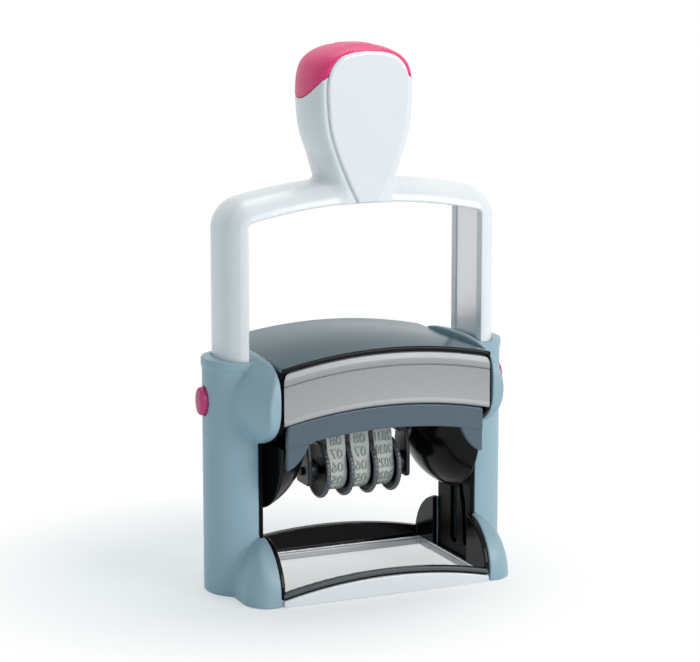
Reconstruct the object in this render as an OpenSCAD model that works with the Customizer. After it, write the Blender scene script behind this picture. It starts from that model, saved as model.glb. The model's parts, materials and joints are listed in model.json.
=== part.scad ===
// Self-inking date stamp: two rounded side cheeks on a framed base, an arched
// ink housing between them, a bow handle with a teardrop knob, and a platen
// with a three band date unit that turns over as the handle is pressed.
// Millimetres, +Z up, front toward -Y, origin under the middle of the base.

/* [Stroke] */
// Height of the text die face at rest, turned up against the pad
die_rest_z = 63; // [62:0.5:64]
// Distance from the turning axis to the text die face
die_h = 9.5; // [9:0.1:10]

/* [Base] */
// Half length between the inner faces of the two cheeks
cheek_in = 39.4; // [39:0.1:41]
// Half depth of the stamp across the feet
foot_y = 30; // [29.6:0.1:33]
// Half length of the printing opening
open_x = 37.5; // [37.4:0.1:38.2]
// Half depth of the printing opening
open_y = 24.6; // [24.4:0.1:25.4]
// Thickness of the base floor
floor_t = 2.6; // [2.4:0.1:3]
// Radius of the shallow arch shared by cover, panels and skirts
arch_r = 171.25; // [150:0.25:220]
// Middle height of the pale base plate
plate_mid = 6.7; // [6:0.1:8]
// Middle height of the dark trim above it
trim_mid = 10.8; // [10:0.1:12]

/* [Side cheeks] */
// Half depth of the column
col_r = 13.2; // [13:0.1:14]
// Half width of the inner face of the column
col_in = 41; // [41:0.1:42]
// Height of the column collar
col_h = 82; // [80:0.5:83]
// Height of the cheek top
cheek_top = 84; // [82.5:0.1:84]
// Reach of the upper bulge to the side
bulge_x = 50; // [49.5:0.1:51]
// Reach of the foot to the side
foot_x = 50; // [49:0.1:52]
// Reach of the foot at the back, where it is flatter
rear_x = 46; // [45.5:0.1:47]
// Height of the foot dome
foot_h = 21.5; // [20:0.5:24]
// Thickness of the steel side plate
side_t = 1.4; // [1:0.1:1.5]

/* [Ink housing] */
// Middle height of the top cover
cover_mid = 86.5; // [86:0.1:87.5]
// Thickness of the top cover
cover_t = 1.6; // [1.2:0.1:1.8]
// Middle height of the lower edge of the front panel
panel_low = 66.8; // [66.6:0.1:68]
// Middle height of the lower edge of the cassette grip
grip_low = 58.3; // [57.8:0.1:60]
// Thickness of the ink pad
pad_t = 3.2; // [3:0.1:3.6]

/* [Handle] */
// Half width between the handle legs
leg_in = 43.3; // [43.3:0.1:44]
// Depth of a leg from its inner face to its outer flat
leg_t = 7.8; // [7:0.1:7.8]
// Half depth of the handle
leg_y = 11.9; // [11:0.1:11.9]
// Height of the underside of the bow in the middle
bow_mid = 133.5; // [133.5:0.5:140]
// Radius of the bow arch
bow_r = 186; // [180:1:200]
// Thickness of the steel strap
strap_t = 1.2; // [1:0.1:1.4]
// Half depth of the steel strap
strap_y = 8; // [7:0.1:8.5]
// Depth of the knob from face to face without its plates
knob_d = 24.6; // [24:0.1:26]
// Thickness of the knob face plates
face_t = 1.2; // [0.8:0.1:1.6]
// Height of the lock button
button_d = 10; // [9:0.1:10.5]
// Width of the lock button
button_w = 7.2; // [6.4:0.1:7.4]
// Travel of the lock button
button_go = 1.6; // [1:0.1:1.7]

/* [Platen] */
// Radius of the axle stubs the platen turns on
axle_r = 2.5; // [2:0.1:2.7]
// Radius of the guide pins
cam_r = 1.5; // [1.2:0.1:1.6]
// Distance from the turning axis to a guide pin
cam_arm = 9; // [8.5:0.1:9.2]
// Half length of the text plate
text_x = 34; // [32:0.1:34]
// Half depth of the text plate
text_y = 23; // [22:0.1:23.2]
// Radius of the end discs of the platen
rotor_r = 25.4; // [24:0.1:25.5]
// Radius of the date wheels
wheel_r = 10; // [9.4:0.1:10.2]
// Depth of the date axle below the turning axis
wheel_drop = 14.5; // [14:0.1:14.6]
// Spacing of the date bands
band_step = 9; // [8.8:0.1:9.2]
// Width of a date band
band_w = 6.2; // [5.6:0.1:6.3]
// Radius of the date axle
date_axle_r = 1.5; // [1.2:0.1:1.7]

/* [Fits] */
// Running clearance between sliding mouldings
slide_gap = 0.3; // [0.2:0.05:0.4]
// Running clearance of turning pins
pin_gap = 0.1; // [0.05:0.01:0.15]
// Gap between fixed mouldings
seat_gap = 0.1; // [0.05:0.01:0.12]

/* [Hidden] */
$fn = 48;
e = 0.01;
pivot_z = die_rest_z - die_h;
stroke = die_rest_z - 2 * die_h;
half_base = cheek_in - seat_gap;
col_mid = col_in + 1.3;
col_out = col_mid + col_r;
floor_col = 2;
bulge_r = 60;
leg_out = leg_in + leg_t;
leg_low = 62;
leg_open = pivot_z + axle_r + 2;
leg_c = leg_in - 5.13;
leg_arc = sqrt(pow(leg_in + 2.2 - leg_c, 2) + leg_y * leg_y);
strap_x = leg_in + 0.6;
bow_c = bow_mid - bow_r;
bend_r = 1;
bend_x = leg_in - bend_r;
bend_a = asin(bend_x / (bow_r - bend_r));
bend_z = bow_c + (bow_r - bend_r) * cos(bend_a);
side_x = cheek_in + seat_gap;
side_y = col_r - 0.3;
side_low = floor_col + 0.2;
side_top = col_h - 2;
pad_low = die_rest_z + slide_gap;
tray_x = text_x + 2.6;
tray_y = open_y + 1.2;
tray_t = 1.2;
tray_top = pad_low + pad_t + tray_t;
skin_y = foot_y - 1.5;
grip_top = panel_low - slide_gap;
house_t = 1.7;
cover_low = cover_mid - cover_t;
peg_r = 3;
peg_z = 74;
peg_y = 20;
screw_x = cheek_in + 4.1;
screw_y = 20;
screw_r = 1.25;
tab_z = 2.4;
button_z = 67;
button_y = 1;
button_in = leg_out + slide_gap + button_go + 0.1;
knob_y = knob_d / 2;
spring_x = (strap_x + strap_t + leg_out) / 2 + 0.2;
spring_r = 2.1;
wire_r = 0.4;
rotor_in = text_x + 0.3;
rotor_out = open_x - slide_gap;
plate_lo = die_h - 5.5;
plate_hi = die_h - 3.5;
text_hi = die_h - 2.5;
plate_y = text_y - 1;
win_x = 2 * band_step + 0.8;
win_y = 7;
brk_x = 2 * band_step;
brk_t = 1.5;
hub_r = 6.2;
band_t = 1.2;
band_r = hub_r + pin_gap + band_t;
nose_r = 2.4;
nose_out = nose_r + pin_gap + band_t;
nose_z = die_h - nose_out;

// Sub-part to draw, or all

// Box given by its two corners
module box(a, b) {
    translate(a)
        cube([b[0] - a[0], b[1] - a[1], b[2] - a[2]]);
}

// Round bar along X
module bar_x(r, x0, x1, y, z) {
    translate([x0, y, z])
        rotate([0, 90, 0])
            cylinder(r = r, h = x1 - x0);
}

// Round bar along Y
module bar_y(r, y0, y1, x, z, fn = 48) {
    translate([x, y1, z])
        rotate([90, 0, 0])
            cylinder(r = r, h = y1 - y0, $fn = fn);
}

// Slab with a shallow arched top
module arch_top(top, low, hx, y0, y1) {
    intersection() {
        box([-hx, y0, low], [hx, y1, top + 1]);
        bar_y(arch_r, y0 - 1, y1 + 1, 0, top - arch_r, 360);
    }
}

// Slab between two shallow arches of the same radius
module arch_slab(top, low, hx, y0, y1) {
    difference() {
        arch_top(top, low - 12, hx, y0, y1);
        bar_y(arch_r, y0 - 2, y1 + 2, 0, low - arch_r, 360);
    }
}

// Drawing plane set upright, so that its second axis is up
module upright(y0, y1) {
    translate([0, y1, 0])
        rotate([90, 0, 0])
            linear_extrude(y1 - y0)
                children();
}

// Drawing plane facing sideways: first axis is Y, second is Z
module sideways(x0, x1) {
    translate([x0, 0, 0])
        rotate([90, 0, 90])
            linear_extrude(x1 - x0)
                children();
}

// Plan of a leg, grown by g on every side
module leg_plan(g) {
    intersection() {
        translate([leg_in - g, -leg_y - g])
            square([leg_t + 2 * g, 2 * (leg_y + g)]);
        translate([leg_c, 0])
            circle(r = leg_arc + g, $fn = 96);
    }
}

// Half plan with one round corner, from the middle to the front
module half_plan(reach, r) {
    translate([cheek_in, -foot_y + r])
        square([reach - cheek_in, foot_y - r]);
    translate([cheek_in, -foot_y])
        square([reach - cheek_in - r, foot_y]);
    translate([reach - r, -foot_y + r])
        circle(r = r);
}

// Plan of the feet, with the flatter half at the back
module foot_plan() {
    half_plan(foot_x, 9);
    mirror([0, 1])
        half_plan(rear_x, 6);
}

// Upper bulge of a cheek, barrel shaped, with an outline rounded toward front and back
module bulge() {
    side = [[20, 55.8], [24.5, 58.2], [27.6, 61], [29.3, 64], [30, 68], [30, 72.5],
        [29.4, 76], [28, 78.8], [25.6, 81], [22, 82.4], [16, 83.4], [8, cheek_top]];
    front = [for (p = side) [-p[0] * foot_y / 30, p[1]]];
    back = [for (i = [len(side) - 1:-1:0]) [side[i][0] * foot_y / 30, side[i][1]]];
    intersection() {
        translate([bulge_x - bulge_r, 0, 0])
            rotate_extrude($fn = 180)
                polygon([[0, 53], [bulge_r - 10.6, 53], [bulge_r - 6.2, 54.6], [bulge_r - 3.6, 57],
                    [bulge_r - 1.9, 60], [bulge_r - 0.6, 64], [bulge_r, 68.5],
                    [bulge_r - 0.5, 73], [bulge_r - 1.9, 77], [bulge_r - 3.6, 80],
                    [bulge_r - 5.2, 82], [bulge_r - 8, cheek_top], [0, cheek_top]]);
        sideways(cheek_in - 1, bulge_x + 1)
            polygon(concat([[-col_r, 53.6]], front, back, [[col_r, 53.6]]));
    }
}

// Low quarter domes of a cheek at the front and the back
module feet() {
    reach = foot_x - cheek_in + 9;
    for (s = [-1, 1])
        intersection() {
            linear_extrude(foot_h)
                foot_plan();
            bar_x(foot_h - 2.5, cheek_in - 1, foot_x + 1, s * (foot_y - foot_h + 2), 2.5);
            bar_y(reach + 1, -foot_y - 1, foot_y + 1, foot_x - reach - 1, 0, 96);
        }
}

// Side moulding with its column, socket, bulge and feet
module cheek() {
    difference() {
        union() {
            linear_extrude(col_h) {
                translate([col_mid, 0])
                    circle(r = col_r, $fn = 96);
                translate([col_in, -col_r])
                    square([col_mid - col_in, 2 * col_r]);
            }
            bulge();
            feet();
        }
        box([20, -40, -1], [cheek_in, 40, 100]);
        box([20, -col_r + 0.2, floor_col], [col_in, col_r - 0.2, side_top + 0.2]);
        box([20, -col_r, -1], [col_in, col_r, 54]);
        translate([0, 0, floor_col])
            linear_extrude(100)
                leg_plan(slide_gap);
        box([20, -leg_y - slide_gap, floor_col], [leg_in, leg_y + slide_gap, leg_open]);
        for (s = [-1, 1]) {
            bar_x(peg_r + seat_gap, cheek_in - 1, cheek_in + 3.2, s * peg_y, peg_z);
            translate([screw_x, s * screw_y, -1])
                cylinder(r = screw_r + 0.05, h = 14);
            box([20, s * screw_y - 3.7, -1], [screw_x + 4.1, s * screw_y + 3.7, tab_z + seat_gap]);
        }
        button_bar(0.15, leg_out, col_out + 2);
        button_bar(1, leg_out, button_in + 0.7);
    }
}

module right_cheek() {
    color([0.52, 0.62, 0.66])
        cheek();
}

module left_cheek() {
    color([0.52, 0.62, 0.66])
        mirror([1, 0, 0])
            cheek();
}

// Path of a guide pin in the side plate as the handle goes down
function cam_y(t) = cam_arm * cos(t);
function cam_z(t) = pivot_z - stroke * t / 180 + cam_arm * sin(t);
function cam_ny(t) = -(cam_arm * cos(t) * PI / 180 - stroke / 180);
function cam_nz(t) = -cam_arm * sin(t) * PI / 180;
function cam_side(t, w) = let (n = norm([cam_ny(t), cam_nz(t)]))
    [cam_y(t) + w * cam_ny(t) / n, cam_z(t) + w * cam_nz(t) / n];

// Steel side plate with the straight axle slot and the curved guide slot
module side_plate() {
    w = cam_r + 2 * pin_gap;
    a = axle_r + 2 * pin_gap;
    difference() {
        box([side_x, -side_y, side_low], [side_x + side_t, side_y, side_top]);
        bar_x(a, side_x - 1, side_x + side_t + 1, 0, pivot_z);
        bar_x(a, side_x - 1, side_x + side_t + 1, 0, pivot_z - stroke);
        box([side_x - 1, -a, pivot_z - stroke], [side_x + side_t + 1, a, pivot_z]);
        sideways(side_x - 1, side_x + side_t + 1)
            polygon(concat([for (t = [0:6:180]) cam_side(t, w)],
                [for (t = [180:-6:0]) cam_side(t, -w)]));
        bar_x(w, side_x - 1, side_x + side_t + 1, cam_y(0), cam_z(0));
        bar_x(w, side_x - 1, side_x + side_t + 1, cam_y(180), cam_z(180));
    }
}

module right_side_plate() {
    color([0.2, 0.2, 0.22])
        side_plate();
}

module left_side_plate() {
    color([0.2, 0.2, 0.22])
        mirror([1, 0, 0])
            side_plate();
}

// Black frame with the printing opening, two skirts and four inner ears
module base_frame() {
    wall = skin_y - 2;
    color([0.08, 0.08, 0.09])
        difference() {
            union() {
                difference() {
                    box([-half_base, -skin_y, 0], [half_base, skin_y, floor_t]);
                    box([-open_x, -open_y, -1], [open_x, open_y, floor_t + 1]);
                }
                arch_top(trim_mid, 0, half_base, -skin_y, -wall);
                arch_top(trim_mid, 0, half_base, wall, skin_y);
                for (m = [0, 1])
                    mirror([m, 0, 0])
                        for (s = [-1, 1]) {
                            intersection() {
                                bar_x(foot_h - 3, half_base - 1.6, half_base,
                                    s * (foot_y - foot_h + 2), 2.5);
                                box([half_base - 1.6, s > 0 ? col_r + 0.2 : -skin_y, 0],
                                    [half_base, s > 0 ? skin_y : -col_r - 0.2, foot_h]);
                            }
                            box([half_base - 2, s * screw_y - 3.6, 0],
                                [screw_x + 4, s * screw_y + 3.6, tab_z]);
                        }
            }
            for (m = [0, 1])
                mirror([m, 0, 0])
                    for (s = [-1, 1])
                        translate([screw_x, s * screw_y, -1]) {
                            cylinder(r = screw_r + 0.2, h = 6);
                            cylinder(r = 2.7, h = 2.3);
                        }
        }
}

// Bright steel rim round the printing opening
module base_rim() {
    color([0.78, 0.79, 0.8])
        difference() {
            box([-open_x - 1.2, -open_y - 1.2, floor_t], [open_x + 1.2, open_y + 1.2, floor_t + 0.6]);
            box([-open_x, -open_y, 0], [open_x, open_y, floor_t + 1]);
            for (sx = [-1, 1])
                for (sy = [-1, 1])
                    box([sx > 0 ? half_base - 1.7 : -half_base - 1, sy > 0 ? col_r : -skin_y, 0],
                        [sx > 0 ? half_base + 1 : -half_base + 1.7, sy > 0 ? skin_y : -col_r, 9]);
        }
}

module base_plate() {
    difference() {
        arch_top(plate_mid, 0.3, cheek_in - 0.8, -foot_y, -skin_y);
        box([-60, -foot_y - 1, -1], [60, -skin_y + 1, 0.2]);
    }
}

module front_base_plate() {
    color([0.95, 0.95, 0.97])
        base_plate();
}

module rear_base_plate() {
    color([0.95, 0.95, 0.97])
        mirror([0, 1, 0])
            base_plate();
}

module trim() {
    arch_slab(trim_mid, plate_mid + seat_gap, cheek_in - 0.8, -foot_y + 0.5, -skin_y);
}

module front_trim() {
    color([0.3, 0.33, 0.34])
        trim();
}

module rear_trim() {
    color([0.3, 0.33, 0.34])
        mirror([0, 1, 0])
            trim();
}

// Four screws that hold the base frame under the feet
module base_screws() {
    color([0.6, 0.6, 0.62])
        for (sx = [-1, 1])
            for (sy = [-1, 1])
                translate([sx * screw_x, sy * screw_y, 0])
                    difference() {
                        union() {
                            translate([0, 0, 0.4])
                                cylinder(r = 2.4, h = 0.9);
                            translate([0, 0, 0.4])
                                cylinder(r = screw_r, h = 11.6);
                        }
                        box([-1.8, -0.35, 0], [1.8, 0.35, 0.9]);
                        box([-0.35, -1.8, 0], [0.35, 1.8, 0.9]);
                    }
}

// Housing that bridges the cheeks and guides the ink cassette
module pad_housing() {
    low = pad_low - seat_gap;
    rail_x = text_x + 1.3;
    in_x = tray_x + slide_gap;
    color([0.1, 0.11, 0.12])
        union() {
            arch_slab(cover_low - 0.05, cover_low - house_t, half_base, -skin_y, skin_y);
            arch_slab(cover_low - 0.05, grip_low, half_base, skin_y - 1.8, skin_y);
            for (m = [0, 1])
                mirror([m, 0, 0]) {
                    intersection() {
                        arch_top(cover_low - 0.05, low - 1.2, half_base, -skin_y, skin_y);
                        box([in_x, -skin_y, low - 1.2], [half_base, skin_y, cover_mid]);
                    }
                    box([rail_x, -tray_y + 0.5, low - 1.2], [in_x + 1, tray_y + 1, low]);
                    box([rotor_out + 0.4, -skin_y, low - 7], [half_base, skin_y, low]);
                    for (s = [-1, 1])
                        bar_x(peg_r, half_base - 1, cheek_in + 3, s * peg_y, peg_z);
                }
        }
}

module top_cover() {
    color([0.36, 0.38, 0.4])
        arch_slab(cover_mid, cover_low, cheek_in - 0.5, -skin_y - 0.6, skin_y + 0.6);
}

// Silver panel with sloping upper and lower edges
module panel() {
    top = cover_low - 0.2;
    hx = cheek_in - 1.1;
    arch_slab(top, panel_low, hx, -skin_y - 0.6, -skin_y);
    arch_slab(top - 1.2, panel_low + 0.7, hx, -foot_y + 0.2, -skin_y - 0.6);
}

module front_panel() {
    color([0.66, 0.66, 0.68])
        panel();
}

module rear_panel() {
    color([0.66, 0.66, 0.68])
        mirror([0, 1, 0])
            panel();
}

// One unbroken wire wound on a vertical axis
module coil(turns, rise, steps = 10, ring = 6) {
    n = turns * steps;
    pts = [for (i = [0:n], k = [0:ring - 1])
        let (a = 360 * i / steps, b = 360 * k / ring, r = spring_r + wire_r * cos(b))
        [r * cos(a), r * sin(a), wire_r + (rise - 2 * wire_r) * i / n + wire_r * sin(b)]];
    sides = [for (i = [0:n - 1], k = [0:ring - 1])
        let (p = i * ring + k, q = i * ring + (k + 1) % ring)
        [p, p + ring, q + ring, q]];
    polyhedron(pts, concat([[for (k = [0:ring - 1]) k]], sides,
        [[for (k = [0:ring - 1]) n * ring + ring - 1 - k]]));
}

module return_springs() {
    color([0.7, 0.7, 0.72])
        for (s = [-1, 1])
            translate([s * spring_x, 0, floor_col + 0.1])
                coil(12, leg_low - floor_col - 0.2);
}

// Upright oval bar, grown by g all round
module button_bar(g, x0, x1) {
    r = button_w / 2 + g;
    h = (button_d - button_w) / 2;
    bar_x(r, x0, x1, button_y, button_z - h);
    bar_x(r, x0, x1, button_y, button_z + h);
    box([x0, button_y - r, button_z - h], [x1, button_y + r, button_z + h]);
}

// Oval lock button in the side of a column
module button() {
    button_bar(0, button_in, col_out + 1.6);
    button_bar(-0.9, button_in, col_out + 2.3);
    button_bar(0.8, button_in, button_in + 0.6);
}

module right_lock_button() {
    color([0.75, 0.2, 0.42])
        button();
}

module left_lock_button() {
    color([0.75, 0.2, 0.42])
        mirror([1, 0, 0])
            button();
}

// Knob sections: height, half flat of the face, half width, share of the depth
KNOB = [[bow_mid + 0.9, 4.6, 18.5, 0.96], [bow_mid + 4.5, 6.3, 17.6, 0.985],
    [bow_mid + 7.5, 7.7, 16.2, 1], [bow_mid + 10.5, 9, 15.2, 1],
    [bow_mid + 13.5, 10.3, 14.8, 1], [bow_mid + 16.5, 11.5, 15.4, 1],
    [bow_mid + 20.5, 12.9, 17, 1], [bow_mid + 24.5, 14, 18.1, 1],
    [bow_mid + 28.5, 14.7, 18.7, 1], [bow_mid + 34.5, 15.2, 19.1, 1],
    [bow_mid + 39.5, 15.3, 19, 1], [bow_mid + 43.5, 14.9, 18.4, 1],
    [bow_mid + 47, 13.4, 17.2, 1], [bow_mid + 49.5, 10.8, 15, 1],
    [bow_mid + 51.3, 7.6, 12, 0.95], [bow_mid + 52.7, 4.2, 8.2, 0.76],
    [bow_mid + 53.6, 1.4, 3.6, 0.42]];
cap_r = 22;
cap_y = 5;
cap_c = bow_mid + 35.2 + cap_r;
cap_peg = 4;

// Whole knob as one lofted solid
module knob_form() {
    half = 13;
    m = 2 * half;
    k = len(KNOB);
    pts = [for (s = KNOB, i = [0:m - 1])
        let (f = i < half ? 1 : -1, t = -90 + 180 * (i % half) / (half - 1))
        [f * (s[1] + (s[2] - s[1]) * cos(t)), f * knob_y * s[3] * sin(t), s[0]]];
    sides = [for (j = [0:k - 2], i = [0:m - 1])
        let (p = j * m + i, q = j * m + (i + 1) % m)
        each [[p, p + m, q], [q, p + m, q + m]]];
    polyhedron(pts, concat([[for (i = [0:m - 1]) i]], sides,
        [[for (i = [0:m - 1]) (k - 1) * m + m - 1 - i]]));
}

// Bow with two legs, a channel for the steel strap and the knob body
module handle_bow() {
    color([0.9, 0.92, 0.94])
        difference() {
            union() {
                for (m = [0, 1])
                    mirror([m, 0, 0]) {
                        translate([0, 0, leg_low])
                            linear_extrude(bend_z - leg_low)
                                leg_plan(0);
                        translate([bend_x, 0, bend_z])
                            rotate([90, 0, 0])
                                rotate([0, 0, -4])
                                    rotate_extrude(angle = 98 - bend_a, $fn = 96)
                                        translate([-bend_x, 0])
                                            leg_plan(-0.05);
                    }
                translate([0, 0, bow_c])
                    rotate([90, 0, 0])
                        rotate([0, 0, 90 - bend_a])
                            rotate_extrude(angle = 2 * bend_a, $fn = 720)
                                translate([bow_r - leg_in, 0])
                                    leg_plan(0);
                difference() {
                    knob_form();
                    bar_x(cap_r, -40, 40, cap_y, cap_c);
                }
            }
            for (m = [0, 1])
                mirror([m, 0, 0])
                    box([leg_in - 2, -strap_y - seat_gap, leg_low - 1],
                        [strap_x + strap_t + seat_gap, strap_y + seat_gap, bend_z + 2]);
            strap_arc(bow_r - 8, bow_r + 0.6 + strap_t + seat_gap, strap_y + seat_gap);
            translate([0, 0, cap_c - cap_r - 9])
                cylinder(r = cap_peg + seat_gap, h = 20);
        }
}

// Part of a ring that follows the bow arch
module strap_arc(r0, r1, half) {
    a = asin((strap_x + strap_t) / (bow_r + 0.6 + strap_t));
    translate([0, 0, bow_c])
        rotate([90, 0, 0])
            rotate([0, 0, 90 - a])
                rotate_extrude(angle = 2 * a, $fn = 720)
                    translate([r0, -half])
                        square([r1 - r0, 2 * half]);
}

// Steel core: a strap bent under the bow, carrying the platen on its legs
module steel_bow() {
    low = pivot_z - axle_r - 1.5;
    color([0.72, 0.73, 0.75])
        difference() {
            union() {
                strap_arc(bow_r + 0.6, bow_r + 0.6 + strap_t, strap_y);
                for (m = [0, 1])
                    mirror([m, 0, 0])
                        box([strap_x, -strap_y, low], [strap_x + strap_t, strap_y, bend_z + 1.2]);
            }
            bar_x(axle_r + pin_gap, -60, 60, 0, pivot_z);
        }
}

module knob_cap() {
    color([0.85, 0.2, 0.42]) {
        intersection() {
            knob_form();
            bar_x(cap_r - 0.02, -40, 40, cap_y, cap_c);
        }
        translate([0, 0, cap_c - cap_r - 8])
            cylinder(r = cap_peg, h = 14);
    }
}

// Teardrop plate on a face of the knob
module face_plate() {
    rows = [for (i = [0:13]) [KNOB[i][1] - 0.3, KNOB[i][0]]];
    top = [[7.4, bow_mid + 50.8], [3.8, bow_mid + 51.4], [0, bow_mid + 51.6]];
    right = concat(rows, top);
    upright(-knob_y - face_t, -knob_y)
        polygon(concat(right, [for (i = [len(right) - 2:-1:0]) [-right[i][0], right[i][1]]]));
}

module knob_front_plate() {
    color([0.94, 0.94, 0.96])
        face_plate();
}

module knob_rear_plate() {
    color([0.94, 0.94, 0.96])
        mirror([0, 1, 0])
            face_plate();
}

// Pull-out tray that holds the pad, with the arched grip and its end webs below the panel
module ink_cassette() {
    end = tray_x - seat_gap;
    color([0.3, 0.36, 0.4])
        difference() {
            union() {
                box([-tray_x, -tray_y, pad_low], [tray_x, tray_y, tray_top]);
                arch_slab(grip_top, grip_low, end, -skin_y + 0.2, -tray_y);
                arch_slab(cover_low - house_t - 0.4, grip_top - 0.1, end, -skin_y, -tray_y);
                for (m = [0, 1])
                    mirror([m, 0, 0])
                        upright(-skin_y + 0.6, -tray_y)
                            polygon([[end, grip_low], [end, grip_low - 11.6], [end - 3, grip_low - 10.6],
                                [end - 6, grip_low - 8.5], [end - 8.6, grip_low - 5.6],
                                [end - 10.4, grip_low - 2.4], [end - 11.2, grip_low]]);
            }
            box([-text_x - 0.6, -open_y + 0.3, 50], [text_x + 0.6, open_y - 0.3, pad_low + pad_t]);
        }
}

module ink_pad() {
    color([0.2, 0.16, 0.35])
        box([-text_x - 0.5, -open_y + 0.4, pad_low], [text_x + 0.5, open_y - 0.4, pad_low + pad_t]);
}

// Half profile of the domed platen end: first value is radius, second is X
function dome_r(f) = 6 + (rotor_r - 6) * f + 3 * sin(180 * f);
function dome_x(f) = win_x + 1.4 + (rotor_out - win_x - 1.4) * f - 2 * sin(180 * f) * 0.6;

module dome(shift) {
    rotate([0, 90, 0])
        rotate_extrude($fn = 96)
            polygon(concat([for (i = [0:8])
                [min(dome_r(i / 8), rotor_r), dome_x(i / 8) + shift]],
                [[0, rotor_out + shift], [0, dome_x(0) + shift]]));
}

// Turning carrier: a plate over two hollow half domes
module platen_carrier() {
    color([0.09, 0.09, 0.1])
        translate([0, 0, pivot_z])
            difference() {
                union() {
                    box([-rotor_in, -plate_y, plate_lo], [rotor_in, plate_y, plate_hi]);
                    for (m = [0, 1])
                        mirror([m, 0, 0])
                            intersection() {
                                union() {
                                    bar_x(rotor_r, rotor_in, rotor_out, 0, 0);
                                    difference() {
                                        dome(0);
                                        difference() {
                                            dome(2.8);
                                            box([rotor_in, -30, -30], [50, 30, 30]);
                                            bar_x(5, 0, 50, 0, 0);
                                            bar_x(cam_r + 2, 0, 50, cam_arm, 0);
                                        }
                                    }
                                }
                                union() {
                                    box([0, -40, -40], [rotor_in, 40, plate_lo]);
                                    box([rotor_in - 1, -40, -40], [50, 40, 0.2]);
                                    bar_x(4.5, rotor_in, 50, 0, 0);
                                    bar_x(cam_r + 1.5, rotor_in, 50, cam_arm, 0);
                                }
                            }
                }
                box([-win_x - 1, -win_y - 1, -1], [win_x + 1, win_y + 1, 20]);
                bar_x(axle_r + 0.02, rotor_in - 3, 60, 0, 0);
                bar_x(axle_r + 0.02, -60, -rotor_in + 3, 0, 0);
                bar_x(cam_r + 0.02, rotor_in - 2, 60, cam_arm, 0);
                bar_x(cam_r + 0.02, -60, -rotor_in + 2, cam_arm, 0);
            }
}

// Steel stubs from the platen through the side plates into the strap
module platen_axles() {
    color([0.75, 0.75, 0.77])
        for (s = [-1, 1])
            bar_x(axle_r, s > 0 ? rotor_in - 2.9 : -strap_x - strap_t - 0.6,
                s > 0 ? strap_x + strap_t + 0.6 : -rotor_in + 2.9, 0, pivot_z);
}

// Pins that run in the curved slots and turn the platen over
module cam_pins() {
    reach = side_x + side_t - 0.1;
    color([0.75, 0.75, 0.77])
        for (s = [-1, 1])
            bar_x(cam_r, s > 0 ? rotor_in - 1.9 : -reach, s > 0 ? reach : -rotor_in + 1.9,
                cam_arm, pivot_z);
}

module text_plate() {
    color([0.2, 0.2, 0.22])
        translate([0, 0, pivot_z])
            difference() {
                box([-text_x, -text_y, plate_hi], [text_x, text_y, text_hi]);
                box([-win_x, -win_y, 0], [win_x, win_y, 20]);
            }
}

// Rubber die: a base sheet, a raised border and plain raised bars
module text_die() {
    hx = text_x - 1;
    hy = text_y - 1;
    mid = text_hi + 1.3;
    color([0.45, 0.16, 0.14])
        translate([0, 0, pivot_z])
            difference() {
                union() {
                    box([-hx, -hy, text_hi], [hx, hy, mid]);
                    difference() {
                        box([-hx, -hy, mid], [hx, hy, die_h]);
                        box([-hx + 1.2, -hy + 1.2, mid], [hx - 1.2, hy - 1.2, die_h + 1]);
                    }
                    for (y = [-17, -11.5, 11.5, 17])
                        box([-26, y - 1.4, mid], [26, y + 1.4, die_h]);
                }
                box([-win_x, -win_y, 0], [win_x, win_y, 20]);
            }
}

// Two brackets, the printing nose and two tie bars
module date_frame() {
    low = wheel_drop + 4.6;
    color([0.13, 0.13, 0.14])
        translate([0, 0, pivot_z])
            difference() {
                union() {
                    for (m = [0, 1])
                        mirror([m, 0, 0]) {
                            sideways(brk_x, brk_x + brk_t)
                                polygon([[-5.4, -low + 1.2], [-4.2, -low], [4.2, -low], [5.4, -low + 1.2],
                                    [5.4, -low + 9], [4, -3], [win_y, -1], [win_y, plate_hi - 0.1],
                                    [-win_y, plate_hi - 0.1], [-win_y, -1], [-4, -3], [-5.4, -low + 9]]);
                            bar_x(4, brk_x - 3.3, brk_x + brk_t, 0, -wheel_drop);
                        }
                    bar_x(nose_r, -brk_x - 0.5, brk_x + 0.5, 0, nose_z);
                    for (s = [-1, 1])
                        bar_x(0.8, -brk_x - 0.5, brk_x + 0.5, s * (win_y - 0.9), 1);
                }
                bar_x(date_axle_r + pin_gap / 2, -40, 40, 0, -wheel_drop);
            }
}

module date_axle() {
    color([0.75, 0.75, 0.77])
        bar_x(date_axle_r, -brk_x - brk_t - 0.8, brk_x + brk_t + 0.8, 0, pivot_z - wheel_drop);
}

// Side view of a loop round the hub and the nose, drawn in by g
module loop_plan(g) {
    a = acos((band_r - nose_out) / (nose_z + wheel_drop));
    polygon(concat(
        [for (i = [0:40])
            let (t = a + (360 - 2 * a) * i / 40)
            [(band_r - g) * sin(t), (band_r - g) * cos(t) - wheel_drop]],
        [for (i = [0:20])
            let (t = -a + 2 * a * i / 20)
            [(nose_out - g) * sin(t), (nose_out - g) * cos(t) + nose_z]]));
}

// Rubber date band round a wheel hub and the printing nose
module band(i) {
    color([0.8, 0.82, 0.8])
        translate([0, 0, pivot_z])
            sideways(i * band_step - band_w / 2, i * band_step + band_w / 2)
                difference() {
                    loop_plan(0);
                    loop_plan(band_t);
                }
}

module day_band() {
    band(-1);
}

module month_band() {
    band(0);
}

module year_band() {
    band(1);
}

// Notched thumb disc
module thumb_disc(x) {
    difference() {
        bar_x(wheel_r, x - 0.9, x + 0.9, 0, 0);
        for (i = [0:19])
            rotate([i * 18, 0, 0])
                bar_x(0.8, x - 2, x + 2, 0, wheel_r + 0.35);
    }
}

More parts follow.
